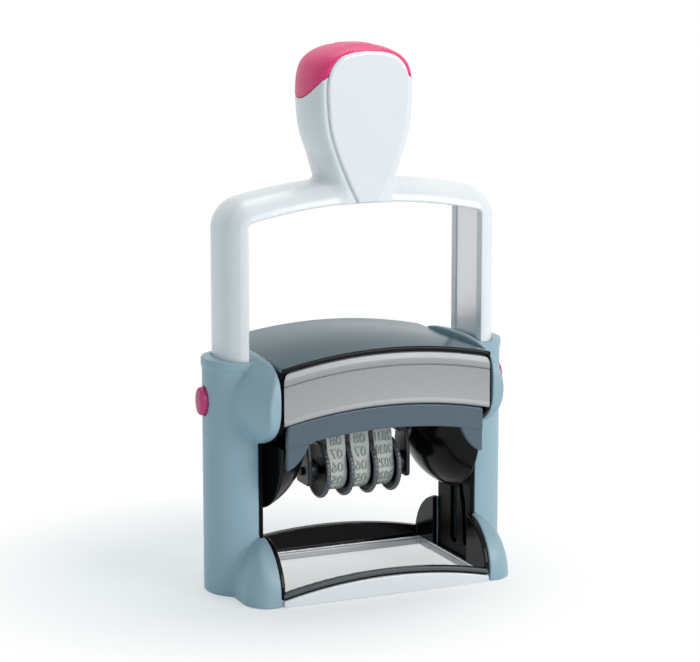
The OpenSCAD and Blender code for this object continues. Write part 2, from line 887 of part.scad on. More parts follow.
// Date wheel: a hub under the band and its thumb disc
module date_wheel(i, twin) {
    x = i * band_step;
    color([0.16, 0.16, 0.17])
        translate([0, 0, pivot_z - wheel_drop])
            difference() {
                union() {
                    bar_x(hub_r, x - band_step / 2 + (twin ? 0 : 1.1), x + band_step / 2, 0, 0);
                    thumb_disc(x + band_step / 2);
                    if (twin)
                        thumb_disc(x - band_step / 2);
                }
                bar_x(date_axle_r + pin_gap, -40, 40, 0, 0);
            }
}

module day_wheel() {
    date_wheel(-1, true);
}

module month_wheel() {
    date_wheel(0, false);
}

module year_wheel() {
    date_wheel(1, false);
}

left_cheek();
right_cheek();
left_side_plate();
right_side_plate();
base_frame();
base_rim();
front_base_plate();
rear_base_plate();
front_trim();
rear_trim();
base_screws();
pad_housing();
top_cover();
front_panel();
rear_panel();
return_springs();
left_lock_button();
right_lock_button();
handle_bow();
steel_bow();
knob_cap();
knob_front_plate();
knob_rear_plate();
ink_cassette();
ink_pad();
platen_carrier();
text_plate();
text_die();
platen_axles();
cam_pins();
date_frame();
date_axle();
day_band();
month_band();
year_band();
day_wheel();
month_wheel();
year_wheel();
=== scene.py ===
"""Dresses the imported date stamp: smooth mouldings, steel, rubber and felt on a pale studio floor.

Sizes inside the pieces are in millimetres in the shared frame: +Z up, front toward -Y.
"""

import json
import math

import bmesh
import bpy
import numpy as np
from bpy.props import FloatProperty, FloatVectorProperty, IntProperty, PointerProperty
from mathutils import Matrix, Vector


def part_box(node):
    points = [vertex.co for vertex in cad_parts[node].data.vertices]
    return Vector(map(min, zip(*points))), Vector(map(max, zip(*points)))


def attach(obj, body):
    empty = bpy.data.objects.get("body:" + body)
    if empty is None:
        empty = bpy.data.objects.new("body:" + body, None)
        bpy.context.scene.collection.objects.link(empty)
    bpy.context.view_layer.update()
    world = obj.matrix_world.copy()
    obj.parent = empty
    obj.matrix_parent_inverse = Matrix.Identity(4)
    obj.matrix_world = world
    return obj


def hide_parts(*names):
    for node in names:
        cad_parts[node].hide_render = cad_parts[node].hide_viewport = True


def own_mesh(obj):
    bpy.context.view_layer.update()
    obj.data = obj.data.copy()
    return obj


bl_info = {
    "name": "Date Stamp Dresser",
    "version": (1, 0, 0),
    "blender": (4, 5, 0),
    "location": "View3D > Sidebar > Stamp",
    "description": "Builds the dressed pieces of a self-inking date stamp over its packed frame",
    "category": "Object",
}

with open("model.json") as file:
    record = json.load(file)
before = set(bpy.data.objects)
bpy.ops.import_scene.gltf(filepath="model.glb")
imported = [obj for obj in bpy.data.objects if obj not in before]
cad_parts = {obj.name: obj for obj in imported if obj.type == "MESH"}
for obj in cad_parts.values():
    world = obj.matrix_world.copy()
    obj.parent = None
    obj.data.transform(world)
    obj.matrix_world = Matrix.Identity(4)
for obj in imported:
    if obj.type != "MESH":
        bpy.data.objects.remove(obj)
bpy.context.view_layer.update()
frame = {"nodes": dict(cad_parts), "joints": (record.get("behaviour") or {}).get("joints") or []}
MM = 0.001


def span(node):
    """Lowest and highest corner of a CAD node in millimetres."""
    low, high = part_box(node)
    return np.array(low) / MM, np.array(high) / MM


def linear(red, green, blue):
    """Scene-linear colour of a display colour given from 0 to 255."""
    shares = (channel / 255 for channel in (red, green, blue))
    return tuple(s / 12.92 if s <= 0.04045 else ((s + 0.055) / 1.055) ** 2.4 for s in shares)


# Places and sizes read from the frame
JOINTS = {joint["name"]: joint for joint in frame["joints"]}
PIVOT_Z = JOINTS["platen_flip"]["pos_m"][2] / MM
WHEEL_Z = JOINTS["day_wheel_turn"]["pos_m"][2] / MM
STROKE = JOINTS["handle_press"]["range_m"][1] / MM
(CHEEK_IN, _, _), (COL_OUT, FOOT_Y, CHEEK_TOP) = span("right_cheek")
(_, _, LEG_LOW), (LEG_OUT, _, _) = span("handle_bow")

# Side cheeks: columns with their shafts, bulges and feet
COL_R, COL_IN, COL_H = 13.2, 41.0, 82.0
COL_MID = COL_OUT - COL_R
COLLAR_HALF = 1.6
FLOOR_COL, SHAFT_TOP, WAIST_TOP = 2.0, 80.2, 54
CUT_FROM, CUT_EDGE = 20, 0.05
BULGE_X, BULGE_Z = 50.0, 68.5
BULGE_R, BULGE_SWELL = 72.0, 18.5
FOOT_X, REAR_X = 50.0, 48.0
FOOT_H, FOOT_SWELL, FOOT_CORNER = 21.5, 31.0, 10

# Lock buttons
BUTTON_Y, BUTTON_Z = 1.0, 67.0
BUTTON_R, BUTTON_TALL, BUTTON_OUT = 3.5, 4.9, 2.3
FLANGE_IN, FLANGE_OUT = 53.1, 53.7

# Handle: legs, bow, channel of the strap, knob with its cap and plates
LEG_IN = LEG_OUT - 7.8
LEG_Y = 11.9
LEG_C = LEG_IN - 5.13
LEG_ARC = math.hypot(LEG_IN + 2.2 - LEG_C, LEG_Y)
SLIDE_GAP = 0.3
BOW_MID, BOW_R = 133.5, 186.0
BOW_C = BOW_MID - BOW_R
STRAP_Y, STRAP_DEPTH = 8.0, 1.9
KNOB_Y = 12.3
FACE_T, FACE_LOW = 1.2, BOW_MID + 0.2
CAP_X, CAP_R, CAP_Y = 19.2, 22.0, 5.0
CAP_C = BOW_MID + 35.2 + CAP_R

# Base frame: floor ring with the opening, walls, ears, screw tabs, plates and trim
ARCH_R = 171.25
BASE_FLOOR = 2.6
BASE_X, BASE_Y = 39.3, 28.5
OPEN_X, OPEN_Y = 37.5, 24.6
FRONT_TOP, REAR_TOP = 8.9, 10.8
EAR_Y, EAR_Z, EAR_R, EAR_IN = 10.5, 2.5, 18.5, 13.4
TAB = (37.3, 16.4, 0), (46.5, 23.6, 2.4)
TAB_SOCKET = (CUT_FROM, 16.3, -1), (46.7, 23.7, 2.5)
SCREW_X, SCREW_Y, SCREW_R = 43.5, 20, 1.45
HEAD_R, HEAD_H = 2.7, 1.3
PLATE_X, PLATE_Y = 38.6, 30
PLATE_LOW, PLATE_TOP = 0.3, 6.7
# The trim's recess below the last height here is painted black: a painted shadow line
TRIM_Y, TRIM_LOW, TRIM_SHADOW_TOP = 29.5, 6.8, 7.48

# Ink housing: housing, cover, panels, drawer and pad
ROOF_LOW, ROOF_TOP = 83.2, 84.85
END_IN, END_LOW, END_TOP = 36.9, 62, 90
SKIRT_IN, SKIRT_LOW, SKIRT_TOP = 37.6, 56.2, 64
BEVEL_Y, BEVEL_Z, BEVEL_FROM = 0.653, 0.758, 61.8
PEG_Y, PEG_Z, PEG_R, PEG_MID, PEG_HALF = 20, 74, 3, 40.35, 2.05
COVER_X, COVER_Y, COVER_LOW, COVER_TOP = 38.9, 29.1, 84.95, 86.5
PANEL_X, PANEL_END_R = 38.3, 2.4
PANEL_LOW, PANEL_TOP = 66.8, 84.7
TRAY_X, TRAY_Y, TRAY_TOP = 36.6, 25.8, 67.7
GRIP_X, GRIP_LOW, GRIP_TOP = 36.5, 58.3, 66.3
PAD_X, PAD_Y, PAD_LOW, PAD_TOP = 34.5, 24.2, 63.3, 66.5
PAD_CROWN = 0.35

# Platen: carrier, date brackets, bands and wheels
ROTOR_R, ROTOR_IN, ROTOR_OUT = 25.4, 34.3, 37.2
CARRIER_Y, CARRIER_LOW, CARRIER_TOP = 22, 4, 6
HOOD_R = 6
WIN_X, WIN_Y = 18.8, 7.0
DIE_H = 9.5
BAND_STEP, BAND_W, BAND_T = 9.0, 7.1, 0.75
LOOP_LOW_R, LOOP_TOP_R = 7.5, 3.7
NOSE_Z, NOSE_R = DIE_H - LOOP_TOP_R, 2.4
BRACKET_X = 18.5
WHEEL_R, HUB_R, BORE_R, RIM_FROM = 10.0, 6.2, 1.65, 9.0

# Return springs
COIL_R, WIRE_R = 2.1, 0.4

# Finishes: scale of the fine grain, and radii in metres that soften a shaded edge
GRAIN, MOTTLE = 2600, 0.04
SOFT_EDGE, FINE_EDGE = 0.0003, 0.0002

# Stage, in metres and degrees. Lamps: name, place, width, power and colour
# Centre and reach of the floor's painted shade pool, placed toward the side where the stamp's shadow falls
SHADE_SPOT, SHADE_NEAR, SHADE_FAR = (-0.03, 0.015, 0), 0.045, 0.125
FLOOR_REACH, FLOOR_DROP = 6.0, 0.0001
LAMP_AIM = (0, 0, 0.085)
LAMPS = (
    ("key_light", (0.6, -1.05, 0.45), 0.6, 7.1, (1.0, 0.94, 0.92)),
    ("top_light", (0.15, 0.35, 1.35), 0.9, 6.8, (1.0, 1.0, 1.0)),
)
VIEW_TURN, VIEW_RISE = -23.94, 10.76
VIEW_AIM, VIEW_DISTANCE, VIEW_LENS = (-0.00131, 0, 0.08725), 0.8699, 128.7

# Knob sections: height over the bow, half flat of the face, half width, share of the depth
KNOB = np.array([
    (0.9, 4.6, 9.6, 0.99), (4.5, 6.3, 11.6, 1), (7.5, 7.7, 13, 1), (10.5, 9, 14, 1),
    (13.5, 10.3, 14.7, 1), (16.5, 11.5, 15.4, 1), (20.5, 12.9, 17, 1), (24.5, 14, 18.1, 1),
    (28.5, 14.7, 18.7, 1), (34.5, 15.2, 19.1, 1), (39.5, 15.3, 19, 1), (43.5, 14.9, 18.4, 1),
    (47, 13.4, 17.2, 1), (49.5, 10.8, 15, 0.995), (51.3, 7.6, 12, 0.95), (52.7, 4.2, 8.2, 0.76),
    (53.4, 1.4, 3.6, 0.42), (53.6, 0.05, 0.5, 0.05),
])


class StampSizes(bpy.types.PropertyGroup):
    """Sizes of the dressed details as lengths, and their counts."""

    moulding_cell: FloatProperty(
        name="Moulding cell", description="Mesh cell of the smooth mouldings",
        default=0.55 * MM, min=0.3 * MM, max=2.0 * MM, unit="LENGTH")
    edge_round: FloatProperty(
        name="Edge rounding", description="Radius on the edges of the mouldings",
        default=0.5 * MM, min=0.2 * MM, max=1.0 * MM, unit="LENGTH")
    collar_lip: FloatProperty(
        name="Collar lip", description="How far the collar stands out from its column",
        default=0.35 * MM, min=0, max=0.6 * MM, unit="LENGTH")
    knob_blend: FloatProperty(
        name="Knob fillet", description="Blend between the knob and the bow",
        default=3.5 * MM, min=0.5 * MM, max=9.0 * MM, unit="LENGTH")
    strip_height: FloatProperty(
        name="Panel strip", description="Height of the sloping strip along the panel top",
        default=4.4 * MM, min=2.0 * MM, max=6.0 * MM, unit="LENGTH")
    digit_height: FloatProperty(
        name="Digit height", description="Height of the raised digits on the bands",
        default=3.3 * MM, min=2.0 * MM, max=4.0 * MM, unit="LENGTH")
    digit_relief: FloatProperty(
        name="Digit relief", description="How far the digits stand out of the bands",
        default=0.45 * MM, min=0.2 * MM, max=0.45 * MM, unit="LENGTH")
    wheel_notches: IntProperty(
        name="Wheel notches", description="Thumb notches round a date wheel", default=34, min=16, max=60)
    spring_turns: IntProperty(
        name="Spring turns", description="Turns of each return spring", default=12, min=8, max=14)


class StampColours(bpy.types.PropertyGroup):
    """Colours of the finishes."""

    cheek: FloatVectorProperty(
        name="Cheeks", description="Blue grey of the side mouldings", subtype="COLOR", default=linear(157, 186, 199))
    bow: FloatVectorProperty(
        name="Bow", description="Cool white of the handle", subtype="COLOR", default=linear(243, 246, 249))
    gloss: FloatVectorProperty(
        name="Gloss white", description="White of the plates", subtype="COLOR", default=linear(243, 245, 249))
    cap: FloatVectorProperty(
        name="Cap", description="Pink of the knob's cap", subtype="COLOR", default=linear(246, 56, 126))
    button: FloatVectorProperty(
        name="Buttons", description="Deeper pink of the lock buttons", subtype="COLOR", default=linear(208, 60, 122))
    rim: FloatVectorProperty(
        name="Wheel rims", description="Grey of the date wheel rims", subtype="COLOR", default=linear(92, 98, 104))
    bracket: FloatVectorProperty(
        name="Brackets", description="Dark slate of the date brackets", subtype="COLOR", default=linear(40, 44, 51))
    cover: FloatVectorProperty(
        name="Cover", description="Smoke grey of the top cover", subtype="COLOR", default=linear(90, 114, 123))
    panel: FloatVectorProperty(
        name="Panel", description="Satin silver of the panels", subtype="COLOR", default=linear(150, 154, 157))
    grip: FloatVectorProperty(
        name="Grip", description="Slate blue of the ink drawer", subtype="COLOR", default=linear(80, 98, 110))
    trim: FloatVectorProperty(
        name="Trim", description="Dark grey of the base trim", subtype="COLOR", default=linear(75, 85, 88))
    black: FloatVectorProperty(
        name="Black", description="Black of the inner mouldings", subtype="COLOR", default=linear(12, 12, 14))
    band: FloatVectorProperty(
        name="Bands", description="Pale rubber of the date bands", subtype="COLOR", default=linear(205, 212, 206))
    die: FloatVectorProperty(
        name="Die", description="Rubber of the text die", subtype="COLOR", default=linear(96, 34, 32))
    felt: FloatVectorProperty(
        name="Felt", description="Inked felt of the pad", subtype="COLOR", default=linear(38, 32, 66))
    steel: FloatVectorProperty(
        name="Steel", description="Bright steel of strap and pins", subtype="COLOR", default=linear(205, 207, 210))


def size(name):
    """One of the stamp's lengths in millimetres."""
    return getattr(bpy.context.scene.stamp_sizes, name) / MM


class Value:
    """A shader socket that takes part in arithmetic: every step adds one Math node."""

    def __init__(self, finish, out):
        self.finish, self.out = finish, out

    def _step(self, operation, first, second):
        return self.finish.node("ShaderNodeMath", {"operation": operation}, {0: first, 1: second})

    def __add__(self, other):
        return self._step("ADD", self, other)

    def __radd__(self, other):
        return self._step("ADD", other, self)

    def __sub__(self, other):
        return self._step("SUBTRACT", self, other)

    def __rsub__(self, other):
        return self._step("SUBTRACT", other, self)

    def __mul__(self, other):
        return self._step("MULTIPLY", self, other)

    def __rmul__(self, other):
        return self._step("MULTIPLY", other, self)


class Finish:
    """A node tree under construction: a material's, or the world's where one is given."""

    def __init__(self, name, world=None):
        self.material = world or bpy.data.materials.new(name)
        self.material.use_nodes = True
        self.tree = self.material.node_tree
        self.tree.nodes.clear()

    def node(self, kind, settings=None, sockets=None, out=0):
        """Adds a node: its settings first, then the values or links of its sockets."""
        made = self.tree.nodes.new(kind)
        for key, value in (settings or {}).items():
            setattr(made, key, value)
        for key, value in (sockets or {}).items():
            socket = made.inputs[key]
            if isinstance(value, Value):
                self.tree.links.new(value.out, socket)
            elif hasattr(socket.default_value, "__len__") and len(socket.default_value) == 4:
                socket.default_value = (*value, 1)[:4]
            else:
                socket.default_value = value
        return Value(self, made.outputs[out])

    def place(self, stretch=(1, 1, 1)):
        """Position on the piece, stretched for drawn or brushed patterns."""
        spot = self.node("ShaderNodeTexCoord", out="Object")
        return self.node("ShaderNodeMapping", {}, {"Vector": spot, "Scale": stretch})

    def noise(self, spot, scale, detail=2.0, rough=0.5):
        """Soft noise from 0 to 1."""
        return self.node("ShaderNodeTexNoise", {}, {
            "Vector": spot, "Scale": scale, "Detail": detail, "Roughness": rough})

    def blend(self, share, first, second):
        """Mix of two colours."""
        return self.node("ShaderNodeMix", {"data_type": "RGBA"}, {0: share, 6: first, 7: second}, out=2)

    def bump(self, height, strength, depth, soften=0.0):
        """Normal of a fine relief, over rounded edges where soften is a radius in metres."""
        sockets = {"Height": height, "Strength": strength, "Distance": depth}
        if soften:
            sockets["Normal"] = self.node("ShaderNodeBevel", {"samples": 6}, {"Radius": soften})
        return self.node("ShaderNodeBump", {}, sockets)

    def seen(self):
        """One where the tree is looked at, straight or in a reflection, and zero where it only lights."""
        rays = ("Camera", "Transmission", "Glossy")
        return sum(self.node("ShaderNodeLightPath", out=f"Is {ray} Ray") for ray in rays)

    def surface(self, sockets):
        """Closes the material with one principled shader."""
        return self.close(self.node("ShaderNodeBsdfPrincipled", {}, sockets))

    def close(self, shader, kind="ShaderNodeOutputMaterial"):
        """Leads a shader to the output."""
        end = self.tree.nodes.new(kind)
        self.tree.links.new(shader.out, end.inputs["Surface"])
        return self.material


def scaled(colour, share):
    """A colour made lighter or darker."""
    return tuple(min(1.0, channel * share) for channel in colour[:3])


def moulded(name, colour, rough, relief, coat=0.0, soften=0.0, shine=0.5):
    """Moulded plastic: faint clouding of the colour, a fine sparked grain and uneven gloss."""
    finish = Finish(name)
    spot = finish.place()
    cloud = finish.noise(spot, 38, 3)
    fine = finish.noise(spot, GRAIN, 2)
    handled = finish.noise(spot, 160, 4, 0.6)
    tone = finish.blend(cloud, scaled(colour, 1 - MOTTLE), scaled(colour, 1 + MOTTLE))
    gloss = rough + 0.10 * (handled - 0.5) + 0.06 * (fine - 0.5)
    return finish.surface({
        "Base Color": tone, "Roughness": gloss, "Coat Weight": coat, "Coat Roughness": 0.08,
        "Specular IOR Level": shine, "Normal": finish.bump(fine, relief, 0.00004, soften)})


def drawn_steel(name, colour, rough, stretch, relief=0.06):
    """Drawn or polished steel with fine lines along one way."""
    finish = Finish(name)
    lines = finish.noise(finish.place(stretch), 900, 3, 0.6)
    cloud = finish.noise(finish.place(), 55, 3)
    tone = finish.blend(lines, scaled(colour, 0.92), scaled(colour, 1.05))
    gloss = rough * (1 + 0.6 * (lines - 0.5) + 0.4 * (cloud - 0.5))
    return finish.surface({
        "Base Color": tone, "Metallic": 1.0, "Roughness": gloss,
        "Normal": finish.bump(lines, relief, 0.00002, FINE_EDGE)})


def lined_frame(name, colour, liner):
    """Glossy black moulding with a bright liner up to the top of the base's floor ring."""
    finish = Finish(name)
    level, fade = BASE_FLOOR * MM, 0.0001
    spot = finish.place()
    height = finish.node("ShaderNodeSeparateXYZ", {}, {0: spot}, out="Z")
    lower = finish.node("ShaderNodeMapRange", {}, {
        "Value": height, "From Min": level - fade, "From Max": level + fade, "To Min": 1.0, "To Max": 0.0})
    cloud = finish.noise(spot, 160, 4, 0.6)
    fine = finish.noise(spot, GRAIN, 2)
    dark = finish.blend(cloud, scaled(colour, 0.9), scaled(colour, 1.1))
    bright = finish.blend(fine, scaled(liner, 0.85), scaled(liner, 1.0))
    return finish.surface({
        "Base Color": finish.blend(lower, dark, bright), "Metallic": 0.5 * lower,
        "Roughness": 0.16 + 0.2 * lower + 0.1 * (cloud - 0.5), "Specular IOR Level": 0.16,
        "Normal": finish.bump(fine, 0.03, 0.00004, SOFT_EDGE)})


def satin_panel(name, colour):
    """Silver lacquered panel with a short brushed grain and fine flakes."""
    finish = Finish(name)
    brush = finish.noise(finish.place((0.16, 1, 1)), 2300, 3, 0.65)
    flake = finish.noise(finish.place(), 5200, 1)
    cloud = finish.noise(finish.place(), 30, 2)
    tone = finish.blend(0.6 * brush + 0.4 * flake, scaled(colour, 0.80), scaled(colour, 1.12))
    gloss = 0.40 + 0.16 * (brush - 0.5) + 0.06 * (cloud - 0.5)
    return finish.surface({
        "Base Color": tone, "Metallic": 0.3, "Roughness": gloss,
        "Normal": finish.bump(brush, 0.12, 0.00003)})


def rubber(name, colour, rough, soften=0.0):
    """Matt rubber with a dusty bloom and a pebbled skin."""
    finish = Finish(name)
    spot = finish.place()
    bloom = finish.noise(spot, 420, 4, 0.65)
    skin = finish.noise(spot, 3600, 2)
    tone = finish.blend(bloom, scaled(colour, 0.84), scaled(colour, 1.08))
    return finish.surface({
        "Base Color": tone, "Roughness": rough + 0.12 * (bloom - 0.5),
        "Normal": finish.bump(0.5 * bloom + 0.5 * skin, 0.25, 0.00006, soften)})


def inked_felt(name, colour):
    """Felt soaked with ink: matted fibres and darker wet patches."""
    finish = Finish(name)
    spot = finish.place()
    wet = finish.noise(spot, 90, 4, 0.6)
    fibre = finish.noise(finish.place((1, 0.4, 1)), 4200, 4, 0.75)
    tone = finish.blend(0.5 * wet + 0.5 * fibre, scaled(colour, 0.45), scaled(colour, 1.35))
    return finish.surface({
        "Base Color": tone, "Roughness": 0.95 - 0.35 * wet, "Sheen Weight": 0.25, "Sheen Roughness": 0.6,
        "Normal": finish.bump(fibre, 0.6, 0.00025)})


def finish_of(name):
    """A finish made by the finishes step."""
    if name not in bpy.data.materials:
        raise RuntimeError(f"the finish {name} hasn't been made")
    return bpy.data.materials[name]


CORNERS = np.array([(i, j, k) for i in (0, 1) for j in (0, 1) for k in (0, 1)])
EDGES = [(a, b) for a in range(8) for b in range(a + 1, 8) if np.abs(CORNERS[a] - CORNERS[b]).sum() == 1]


def slope(field, points, step=0.02):
    """Value and gradient of a field at points."""
    value = field(*points.T)
    shifts = np.eye(3) * step
    grad = np.stack([(field(*(points + s).T) - field(*(points - s).T)) / (2 * step) for s in shifts], 1)
    return value, grad


def relaxed(points, quads, share=0.5):
    """Points drawn toward the middle of their neighbours."""
    first = np.concatenate([quads[:, i] for i in range(4)] + [quads[:, (i + 1) % 4] for i in range(4)])
    second = np.concatenate([quads[:, (i + 1) % 4] for i in range(4)] + [quads[:, i] for i in range(4)])
    count = np.maximum(np.bincount(first, minlength=len(points)), 1)
    middle = np.stack([np.bincount(first, points[second, i], len(points)) / count for i in range(3)], 1)
    return points + share * (middle - points)


def surface_net(field, low, high, cell, rounds=4):
    """Quad mesh of a field's zero surface, drawn onto it: points, quads and normals."""
    box = np.asarray(low, float), np.asarray(high, float)
    margin = 1.7 * cell
    low = box[0] - margin
    count = np.ceil((box[1] + margin - low) / cell).astype(int) + 1
    axes = [low[i] + cell * np.arange(count[i]) for i in range(3)]
    grid = field(*np.meshgrid(*axes, indexing="ij"))
    inside = grid < 0
    size = count - 1
    filled = sum(inside[i:size[0] + i, j:size[1] + j, k:size[2] + k].astype(int) for i, j, k in CORNERS)
    active = np.argwhere((filled > 0) & (filled < 8))
    if not len(active):
        raise RuntimeError("a moulding's field has no surface")
    index = np.full(size, -1)
    index[tuple(active.T)] = np.arange(len(active))
    values = np.stack([grid[tuple((active + c).T)] for c in CORNERS], 1)
    total, hits = np.zeros((len(active), 3)), np.zeros(len(active))
    for a, b in EDGES:
        crossed = (values[:, a] < 0) != (values[:, b] < 0)
        share = values[:, a] / np.where(crossed, values[:, a] - values[:, b], 1)
        total += np.where(crossed[:, None], CORNERS[a] + share[:, None] * (CORNERS[b] - CORNERS[a]), 0)
        hits += crossed
    points = low + cell * (active + total / hits[:, None])
    quads = []
    for axis in range(3):
        u, v = np.eye(3, dtype=int)[(axis + 1) % 3], np.eye(3, dtype=int)[(axis + 2) % 3]
        near = np.take(inside, range(size[axis]), axis)
        far = np.take(inside, range(1, count[axis]), axis)
        where = np.argwhere(near != far)
        ring = np.stack([index[tuple(w.T)] for w in (where - u - v, where - v, where, where - u)], 1)
        outward = near[tuple(where.T)]
        quads.append(np.where(outward[:, None], ring, ring[:, ::-1]))
    quads = np.concatenate(quads)
    for turn in range(rounds):
        if turn < rounds - 1:
            points = relaxed(points, quads)
        value, grad = slope(field, points)
        steep = np.maximum((grad ** 2).sum(1), 0.1)
        points = points - (np.clip(value, -cell, cell) / steep)[:, None] * grad
    points = np.clip(points, *box)
    value, grad = slope(field, points)
    normals = grad / np.maximum(np.linalg.norm(grad, axis=1), 1e-6)[:, None]
    return points, quads, normals


def fillet(a, b, r):
    """What two fields share, with the edge between them rounded to radius r."""
    u, v = np.maximum(a + r, 0), np.maximum(b + r, 0)
    return np.hypot(u, v) + np.minimum(np.maximum(a + r, b + r), 0) - r


def weld(a, b, k):
    """Two fields joined, with a soft inner corner of size k."""
    share = np.clip(0.5 + 0.5 * (b - a) / k, 0, 1)
    return b * (1 - share) + a * share - k * share * (1 - share)


def block(x, y, z, low, high, r):
    """Field of a box with rounded edges."""
    sides = [np.abs(q - (a + b) / 2) - (b - a) / 2 for q, a, b in zip((x, y, z), low, high)]
    return fillet(fillet(sides[0], sides[1], r), sides[2], r)


def arch_drop(x):
    """How far the shallow arch has fallen at x."""
    return ARCH_R - np.sqrt(ARCH_R ** 2 - np.minimum(np.abs(x), ARCH_R) ** 2)


def eased(rows, fine=16):
    """Rows joined by a smooth curve."""
    padded = np.vstack([2 * rows[0] - rows[1], rows, 2 * rows[-1] - rows[-2]])
    out = []
    for a, b, c, d in zip(padded, padded[1:], padded[2:], padded[3:]):
        for t in np.arange(fine) / fine:
            out.append(0.5 * (2 * b + (c - a) * t + (2 * a - 5 * b + 4 * c - d) * t ** 2
                              + (3 * b - a - 3 * c + d) * t ** 3))
    out.append(rows[-1])
    return np.array(out)


KNOB_FINE = eased(KNOB)


def piece(name, points, faces, finish, body, node, normals=None, crease=None):
    """A new piece that rides on a body and stands for a CAD node: one finish, or several in a list."""
    mesh = bpy.data.meshes.new(name)
    mesh.from_pydata((np.asarray(points) * MM).tolist(), [], [list(map(int, f)) for f in faces])
    if mesh.validate():
        raise RuntimeError(f"{name} has broken faces")
    for each in finish if isinstance(finish, list) else [finish]:
        mesh.materials.append(finish_of(each))
    mesh.shade_smooth()
    if normals is not None:
        mesh.normals_split_custom_set_from_vertices(np.asarray(normals).tolist())
    elif crease:
        tidy = bmesh.new()
        tidy.from_mesh(mesh)
        bmesh.ops.recalc_face_normals(tidy, faces=tidy.faces)
        tidy.to_mesh(mesh)
        tidy.free()
        mesh.set_sharp_from_angle(angle=math.radians(crease))
    obj = bpy.data.objects.new(name, mesh)
    bpy.context.scene.collection.objects.link(obj)
    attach(obj, body)
    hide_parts(node)
    return obj


def moulding(name, field, low, high, cell, finish, body, node, slot):
    """A piece meshed from a field."""
    points, quads, normals = surface_net(field, low, high, cell)
    return piece(name, points, quads, finish, body, node, normals)


def second_finish(obj, test):
    """Puts a piece's second finish on the faces that pass a test."""
    for face in obj.data.polygons:
        face.material_index = int(test(face))


def mirrored(points, quads, normals, flip=(-1, 1, 1)):
    """The same mesh on the other side of a middle plane, left to right unless told otherwise."""
    return points * np.array(flip), quads[:, ::-1], normals * np.array(flip)


def ring_faces(around, rows, closed):
    """Quads between rings of points, the last ring led back to the first or both ends capped."""
    faces = [(i * around + j, i * around + (j + 1) % around,
              (i + 1) % rows * around + (j + 1) % around, (i + 1) % rows * around + j)
             for i in range(rows if closed else rows - 1) for j in range(around)]
    if not closed:
        faces += [tuple(range(around)), tuple(range((rows - 1) * around, rows * around))]
    return faces


def softened(corners, radii, steps=4):
    """Outline with its corners turned into arcs."""
    corners = np.asarray(corners, float)
    out = []
    for i, (corner, radius) in enumerate(zip(corners, radii)):
        if radius <= 0:
            out.append(corner)
            continue
        back, ahead = corners[i - 1] - corner, corners[(i + 1) % len(corners)] - corner
        back, ahead = back / np.linalg.norm(back), ahead / np.linalg.norm(ahead)
        half = math.acos(np.clip(back @ ahead, -1, 1)) / 2
        reach = radius / math.tan(half)
        middle = corner + (back + ahead) / np.linalg.norm(back + ahead) * radius / math.sin(half)
        start, end = corner + back * reach - middle, corner + ahead * reach - middle
        turn = math.atan2(start[0] * end[1] - start[1] * end[0], start @ end)
        for t in np.linspace(0, turn, steps + 1):
            c, s = math.cos(t), math.sin(t)
            out.append(middle + (c * start[0] - s * start[1], s * start[0] + c * start[1]))
    return np.array(out)


def arch_sweep(outline, half, follow=None, inset=0.4, stations=72):
    """Solid that carries a (y, z) outline along the shallow arch, with eased ends: points and faces."""
    outline = np.asarray(outline, float)
    follow = np.ones(len(outline)) if follow is None else np.asarray(follow, float)
    middle = outline.mean(0)
    reach = np.maximum(np.abs(outline - middle).max(0), 1e-6)
    inner = [(x, 0.0) for x in np.linspace(-half + inset, half - inset, stations)]
    xs = [(-half, 1.0), (-half + 0.3 * inset, 0.3), *inner, (half - 0.3 * inset, 0.3), (half, 1.0)]
    points = []
    for x, shrink in xs:
        share = 1 - shrink * inset / np.maximum(reach, 2 * inset)
        for (y, z), f in zip(middle + (outline - middle) * share, follow):
            points.append((x, y, z - f * arch_drop(x)))
    return np.array(points), ring_faces(len(outline), len(xs), False)


def front_to_back(points):
    """The same points at the back of the stamp."""
    return np.asarray(points) * np.array([1, -1, 1])


def lathe_x(rings, turns, middle, ripple=None):
    """Closed ring of revolution along X from (x, radius) stations: points and faces."""
    angles = np.linspace(0, 2 * math.pi, turns, endpoint=False)
    points = []
    for k, (x, r) in enumerate(rings):
        radius = r + (ripple(k, angles) if ripple else 0 * angles)
        points += [(x, middle[0] + q * math.sin(a), middle[1] + q * math.cos(a)) for q, a in zip(radius, angles)]
    return np.array(points), ring_faces(turns, len(rings), True)


def joined(*meshes):
    """Several meshes as one."""
    points, faces, base = [], [], 0
    for p, f in meshes:
        points.append(np.asarray(p, float))
        faces += [tuple(base + i for i in face) for face in f]
        base += len(p)
    return np.vstack(points), faces


def leg_section(u, y):
    """Field of the handle's section: u across from the inner face, y along the depth."""
    rounded = fillet(u - LEG_OUT, np.hypot(u - LEG_C, y) - LEG_ARC, 1.6)
    return fillet(fillet(rounded, np.abs(y) - LEG_Y, 0.9), LEG_IN - u, 0.6)


def bow_gap(x, z):
    """Distance outward from the inner line of legs and bow."""
    return fillet(np.abs(x) - LEG_IN, np.hypot(x, z - BOW_C) - BOW_R, 1.0)


def knob_field(x, y, z):
    """Field of the whole knob."""
    rise = z - BOW_MID
    flat, wide, share = (np.interp(rise, KNOB_FINE[:, 0], KNOB_FINE[:, i]) for i in (1, 2, 3))
    deep, end = np.maximum(KNOB_Y * share, 0.3), np.maximum(wide - flat, 0.3)
    u, v = np.maximum(np.abs(x) - flat, 0) / end, y / deep
    reach = np.maximum(np.hypot(u, v), 1e-6)
    side = (reach - 1) * reach / np.maximum(np.hypot(u / end, v / deep), 1e-6)
    return np.maximum(np.maximum(side, KNOB[0, 0] - rise), rise - KNOB[-1, 0])


